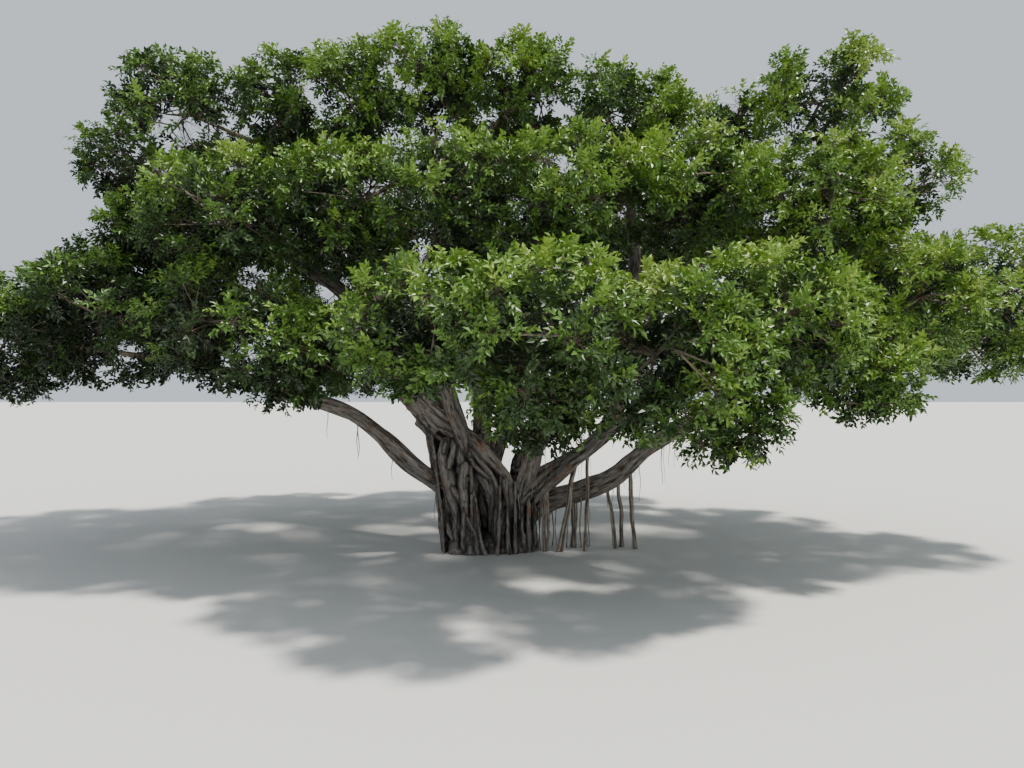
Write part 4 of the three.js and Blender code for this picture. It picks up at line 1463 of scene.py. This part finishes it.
@dataclass
class Foliage:
    """All masses of foliage: stems from the boughs, twigs by the source's rule, finer twigs and sprays."""

    crown: Crown
    surface_share: float = 0.8  # a mass's surface as a share of a ball's
    clump_area: float = 1.25  # square metres of a mass's surface for each clump
    clump_radii: tuple[float, float] = (0.52, 0.78)
    forks: tuple[int, int] = (4, 11)  # samples of the mass's twigs at which clumps' twigs leave them
    free_share: float = 0.62  # a clump is grown where its mass has more than this share of its reach
    spray_kinds: int = 8
    sprays_a_clump: int = 24
    leaves_a_spray: int = 13
    least_leaves: int = 6  # a spray that keeps fewer in its mass's space isn't grown
    spray_length: float = 0.38
    small_reach: float = 2.5  # a mass that reaches no further has no hollows
    hollow_share: float = 2.0  # depth of the hollows for each metre of reach beyond that
    hollow_length: float = 3.0
    seed: int = 71
    sprays: list[Spray] = field(default_factory=list)
    leaves: list[tuple[LeafTone, int, Array]] = field(default_factory=list)
    twigs: list[tuple[int, Array, Array]] = field(default_factory=list)
    pieces: list[tuple[bpy.types.Object, LeafTone | None, Array]] = field(default_factory=list)

    def build(self) -> None:
        """Grows every mass, then joins leaves by tone and twigs by size into pieces."""
        random = np.random.default_rng(self.seed)
        self.sprays = [Spray.grow(random, self.leaves_a_spray) for _ in range(self.spray_kinds)]
        for shoot in all_shoots():
            self.grow_mass(shoot, np.random.default_rng(self.seed + shoot.seed))
        self.join_leaves()
        self.join_twigs()

    def primaries(self, shoot: Shoot) -> tuple[Array, Array]:
        """The source's own twigs of a mass.

        Args:
            shoot: the mass's own stem.

        Returns:
            The twigs' directions in the round space, and how much room the mass has along each.
        """
        mass = MASSES[shoot.mass]
        sequence = SeededSequence(shoot.seed)
        if mass.habit is Habit.DENSE:
            for _ in range(CORE_DRAWS):
                sequence.draw()
        nudges = np.array([sequence.draw() - 0.5 for _ in range(2 * mass.habit.value)]).reshape(-1, 2)
        directions = even_directions(mass.habit.value, nudges[:, 0], nudges[:, 1])
        return directions, self.crown.room(shoot.mass, directions)

    def grow_mass(self, shoot: Shoot, random: Random) -> None:
        """Grows one mass: its stem, twigs, clumps at its surface and inside it, and the clumps' sprays.

        Args:
            shoot: the mass's own stem.
            random: the source of its differences.
        """
        index, mass = shoot.mass, MASSES[shoot.mass]
        centre = self.crown.centres[index]
        stem = smooth_route(np.array([shoot.seat, shoot.lead, centre]), MASS_STEM.samples)
        self.add_twigs(index, stem[None], MASS_STEM)
        ways, rooms = self.primaries(shoot)
        ends = self.crown.place(index, ways, rooms * MAIN_TWIG_SHARE)
        middles = (centre + ends) / 2 + 0.12 * mass.reach * unit(random.normal(size=ends.shape))
        limbs = curl(np.broadcast_to(centre, ends.shape), middles, ends, MAIN_TWIGS.samples)
        self.add_twigs(index, limbs, MAIN_TWIGS)
        count = round(4 * math.pi * mass.reach ** 2 * self.surface_share / self.clump_area)
        for share, depth in CLUMPS[mass.habit]:
            self.grow_clumps(index, ways, limbs, round(count * share), depth, random)

    def grow_clumps(self, index: int, ways: Array, limbs: Array, count: int, depth: float,
                    random: Random) -> None:
        """Grows clumps of sprays at a depth of the mass, each on a twig from the nearest of the mass's twigs.

        A clump's hub lies along an even direction, at the depth's share of the mass's room there, less how
        far the clump is sunk, which is less beside other masses, less its hollow and a chance value.

        Args:
            index: the mass's number.
            ways: the directions of the mass's twigs.
            limbs: the mass's twigs, n by samples by 3.
            count: how many clumps are tried.
            depth: 1 at the surface, less inside.
            random: the source of the clumps' differences.
        """
        mass = MASSES[index]
        centre = self.crown.centres[index]
        aims = even_directions(count, random.uniform(-0.8, 0.8, count), random.uniform(-0.5, 0.5, count))
        rooms = self.crown.room(index, aims)
        size = random.uniform(*self.clump_radii, count)
        shared = np.clip((mass.reach - rooms) / (0.2 * mass.reach), 0, 1)
        sunk = (0.8 - 0.55 * shared) * size if depth == 1 else 0
        sunk += depth * (1 - shared) * self.hollows(index, aims)
        reach = rooms * depth - sunk - random.uniform(0, 0.2, count)
        hubs = self.crown.place(index, aims, np.maximum(reach, 0.2))
        keep = rooms > self.free_share * mass.reach
        keep &= ~self.crown.buried(index, hubs)
        aims, size, hubs = aims[keep], size[keep], hubs[keep]
        nearest = np.argmax(aims @ ways.T, axis=1)
        starts = limbs[nearest, random.integers(*self.forks, len(hubs))]
        middle = 0.5 * (starts + hubs) + 0.1 * mass.reach * unit(hubs - centre)
        self.add_twigs(index, curl(starts, middle, hubs, CLUMP_TWIGS.samples), CLUMP_TWIGS)
        self.grow_sprays(index, hubs, size, depth, random)

    def hollows(self, index: int, aims: Array) -> Array:
        """How far the surface of a large mass lies back, so that it is a group of clumps and not a ball.

        The depth is a share of the reach beyond a small mass's, times the positive part of slow waves over
        the mass's free surface. Small masses have none.

        Args:
            index: the mass's number.
            aims: directions from the mass's middle, n by 3.

        Returns:
            The n depths.
        """
        mass = MASSES[index]
        waves = ripples(aims * mass.reach, self.hollow_length, np.random.default_rng(self.seed + index), 1)
        return self.hollow_share * max(mass.reach - self.small_reach, 0) * np.clip(waves, 0, 1.2)

    def fan_out(self, index: int, hubs: Array, size: Array, random: Random) -> tuple[Array, Array, Array]:
        """Places the sprays of clumps, fanned out from each hub, mostly outwards and up.

        Every clump takes the same even directions. Each is mixed with a random one, then drawn away from the
        mass's middle and up. A spray's root lies along it, and the spray's own way is that mixed once more.

        Args:
            index: the mass's number.
            hubs: the clumps' middles, n by 3.
            size: the clumps' radii.
            random: the source of the sprays' differences.

        Returns:
            The sprays' roots, their axes as columns of which the first is a spray's way, and their lengths.
        """
        n, m = len(hubs), self.sprays_a_clump
        outwards = unit(hubs - self.crown.centres[index])
        spread = even_directions(m, random.uniform(-0.5, 0.5, m), np.zeros(m))
        turned = unit(spread[None] + 0.45 * random.normal(size=(n, m, 3)))
        ways = unit(turned + 0.3 * outwards[:, None] + np.array([0, 0, 0.1]))
        length = self.spray_length * random.uniform(0.85, 1.2, (n, m))
        inner = np.maximum(size[:, None] - length, 0.05) * random.uniform(0.05, 1, (n, m)) ** 0.55
        roots = (hubs[:, None] + ways * inner[..., None] * np.array([1, 1, CLUMP_FLATNESS])).reshape(-1, 3)
        ways = unit(ways + 0.5 * random.normal(size=(n, m, 3)) * np.array([1, 1, 0.6]))
        uppers = np.array([0, 0, 0.9]) + 0.35 * outwards[:, None] + 0.25 * random.normal(size=(n, m, 3))
        across = unit(np.cross(uppers, ways))
        axes = np.stack([ways, across, np.cross(ways, across)], axis=-1).reshape(-1, 3, 3)
        return roots, axes, length.ravel()

    def grow_sprays(self, index: int, hubs: Array, size: Array, depth: float, random: Random) -> None:
        """Grows the sprays of clumps with their twigs, and deals each a tone of painted light and shade.

        Leaves that would leave the mass's space aren't grown, nor are sprays that keep too few, nor most of
        those in a gap. The twigs in a gap stay.

        Args:
            index: the mass's number.
            hubs: the clumps' middles, n by 3.
            size: the clumps' radii.
            depth: 1 at the mass's surface, less inside.
            random: the source of the sprays' differences.
        """
        roots, axes, length = self.fan_out(index, hubs, size, random)
        along = axes[..., 0] * length[:, None]
        around = np.repeat(hubs, self.sprays_a_clump, axis=0)
        kind = random.integers(0, len(self.sprays), len(roots))
        leaves = np.stack([spray.leaves for spray in self.sprays])[kind]
        scale = length[:, None, None, None]
        leaves = np.einsum("nij,nlpj->nlpi", axes, leaves) * scale + roots[:, None, None]
        tips = roots + along * 0.96
        inside = self.crown.keeps_inside(index, leaves[:, :, (0, 2)]).all(axis=-1)
        fit = inside.sum(axis=1) >= self.least_leaves
        fine = fit & self.crown.keeps_inside(index, tips)
        bases = 0.75 * around + 0.25 * roots
        self.twigs.append((index, *spikes(bases[fine], tips[fine], FINEST_TWIG)))
        fit &= ~in_sky_gap(0.5 * (roots + tips), random)
        # Painted light: sprays high in their clump score lighter, low ones darker; each clump also has its
        # own random tone.
        lift = (roots - around)[:, 2] / np.repeat(size, self.sprays_a_clump) / CLUMP_FLATNESS
        own_tone = np.repeat(random.normal(size=len(hubs)), self.sprays_a_clump)
        painted_light_tones = self.painted_light_tones(MASSES[index], roots + along * 0.6, depth, 0.3 * own_tone + 0.85 * lift, random)
        for tone in LeafTone:
            own = inside & fit[:, None] & (painted_light_tones == tone.value)[:, None]
            if own.any():
                self.leaves.append((tone, index, leaves[own]))

    @staticmethod
    def painted_light_tones(mass: Mass, points: Array, depth: float, clump: Array, random: Random) -> Array:
        """Deals each spray a tone of painted light: lighter high up, outside and to the right, with chance.

        Its score is the sum of what its height in the mass, its distance from the middle, its place in the
        crown, its clump and chance give, less a painted shade inside the mass. Its tone is how many steps the
        score
        passes: the darker tones are painted shade, the lighter ones painted sunlight, partly also yellower
        new growth.

        Args:
            mass: the mass that the sprays belong to.
            points: the sprays' middles, n by 3.
            depth: 1 at the mass's surface, less inside.
            clump: what the spray's clump and its height in it add, high sprays getting painted light.
            random: the source of the spray's own chance.

        Returns:
            The tones' numbers.
        """
        offset = (points - np.array(mass.centre)) / mass.reach
        outside = np.linalg.norm(offset / FLATTEN, axis=1)
        to_the_right = np.clip(points[:, 0] / 11, -1, 1)
        high_up = np.clip(points[:, 2] / 6 - 0.8, -0.3, 1)
        painted_shade = 0.8 if depth < 1 else 0
        # Painted light: the score grows upwards in the mass and the crown, outwards and to the right, towards
        # the sun; inner clumps get painted shade.
        score = (0.75 * offset[:, 2] + 0.9 * (outside - 0.7) + (to_the_right * 0.6 + high_up * 0.28) + clump
                 + 0.1 + 0.25 * random.normal(size=len(points)) - painted_shade)
        return np.digitize(score, TONE_STEPS)

    def add_twigs(self, index: int, paths: Array, stage: TwigStage) -> None:
        """Sweeps twigs and keeps them under their mass's number.

        Args:
            index: the mass's number.
            paths: the twigs' paths, n by samples by 3.
            stage: the twigs' thickness and sides.
        """
        if len(paths):
            radii = np.tile(np.linspace(*stage.radii, stage.samples), (len(paths), 1))
            self.twigs.append((index, *sweep(paths, radii, stage.sides)))

    def join_leaves(self) -> None:
        """Joins the leaves of each tone into pieces, each of no more than a set number of leaves."""
        for tone in LeafTone:
            own = [(index, leaves) for kind, index, leaves in self.leaves if kind is tone]
            owners = np.concatenate([np.full(len(leaves), index) for index, leaves in own])
            leaves = np.concatenate([leaves for _, leaves in own])
            for number, start in enumerate(range(0, len(leaves), MAX_LEAVES_A_PIECE), 1):
                part = leaves[start:start + MAX_LEAVES_A_PIECE]
                faces = LEAF_FACES[None] + 4 * np.arange(len(part))[:, None, None]
                name = f"leaves_{tone.name.lower()}_{number}"
                piece = new_piece(name, part.reshape(-1, 3), faces.reshape(-1, 3), smooth=False)
                masses = np.unique(owners[start:start + MAX_LEAVES_A_PIECE])
                self.pieces.append((piece, tone, masses))

    def join_twigs(self) -> None:
        """Joins stems and twigs into pieces, each of no more than a set number of faces."""
        groups, size = [[]], 0
        for entry in self.twigs:
            if size + len(entry[2]) > MAX_TWIG_FACES_A_PIECE:
                groups.append([])
                size = 0
            groups[-1].append(entry)
            size += len(entry[2])
        for number, group in enumerate(groups, 1):
            points, faces = joined([(points, faces) for _, points, faces in group])
            piece = new_piece(f"twigs_{number}", points, faces, smooth=True)
            set_bark(piece, np.full(len(points), 0.7), points)
            self.pieces.append((piece, None, np.unique([index for index, _, _ in group])))

    def dress(self) -> None:
        """Gives leaves their tone's finish and twigs their bark, in place of the source's masses."""
        finishes = {tone: finish.material() for tone, finish in LEAF_FINISHES.items()}
        bark = TWIG_BARK.material()
        for piece, tone, masses in self.pieces:
            finish, slot = (bark, "bark") if tone is None else (finishes[tone], "foliage")
            hand_over(piece, finish, [MASSES[i].name for i in masses])


@dataclass
class Studio:
    """A plain pale floor, soft light like the photo's sun from the upper right, and the photo's camera."""

    camera_at: tuple[float, float, float] = FRONT_EYE
    tilt_up: float = 0.806  # degrees
    lens: float = 25.0  # millimetres
    sensor: float = 36.0
    view_end: float = 1000.0
    sun_way: tuple[float, float, float] = (-0.4, 0.02, -0.92)
    sun_colour: tuple[float, float, float] = (1.0, 0.965, 0.9)
    sun_strength: float = 6.0
    sun_width: float = 5.0  # degrees
    sky_colour: str = "#dde6f0"
    sky_strength: float = 0.95
    floor_colour: str = "#cfcec9"
    floor_half: float = 300.0
    floor_drop: float = 0.002

    def floor(self) -> None:
        """A flat pale floor, wide enough to meet the horizon, and just below the roots."""
        half, low = self.floor_half, -self.floor_drop
        corners = np.array([(-half, -half, low), (half, -half, low), (half, half, low), (-half, half, low)])
        floor = new_piece("floor", corners, np.array([(0, 1, 2, 3)]), smooth=False)
        material, tree = new_material("pale_floor")
        skin = add_node(tree, "ShaderNodeBsdfPrincipled",
                        {"Base Color": linear(self.floor_colour), "Roughness": 0.9})
        add_node(tree, "ShaderNodeOutputMaterial", links={"Surface": skin.outputs[0]})
        floor.data.materials.append(material)

    def lights(self) -> None:
        """One soft sun and a pale even world."""
        sun = bpy.data.lights.new("sun", "SUN")
        sun.energy, sun.angle, sun.color = self.sun_strength, math.radians(self.sun_width), self.sun_colour
        lamp = bpy.data.objects.new("sun", sun)
        lamp.rotation_mode = "QUATERNION"
        lamp.rotation_quaternion = Vector(self.sun_way).to_track_quat("-Z", "Y")
        bpy.context.scene.collection.objects.link(lamp)
        world = bpy.data.worlds.new("pale_world")
        world.use_nodes = True
        sky = world.node_tree.nodes["Background"]
        sky.inputs["Color"].default_value = linear(self.sky_colour)
        sky.inputs["Strength"].default_value = self.sky_strength
        bpy.context.scene.world = world

    def camera(self) -> None:
        """The photo's camera: 16.5 m in front of the trunk, looking slightly up."""
        data = bpy.data.cameras.new("camera")
        data.lens, data.sensor_width, data.clip_end = self.lens, self.sensor, self.view_end
        camera = bpy.data.objects.new("camera", data)
        camera.location = self.camera_at
        camera.rotation_euler = (math.radians(90 + self.tilt_up), 0, 0)
        bpy.context.scene.collection.objects.link(camera)
        bpy.context.scene.camera = camera

    def build(self) -> None:
        """Builds floor, lights and camera."""
        self.floor()
        self.lights()
        self.camera()


def main() -> None:
    """Builds and dresses the tree from the trunk outwards, then the studio."""
    logging.basicConfig(level=logging.INFO, format="%(message)s")
    for part in (Trunk(), Boughs(), PropRoots(), HangingRoots(), Foliage(Crown(MASSES))):
        part.build()
        part.dress()
    Studio().build()


if __name__ == "__main__":
    main()
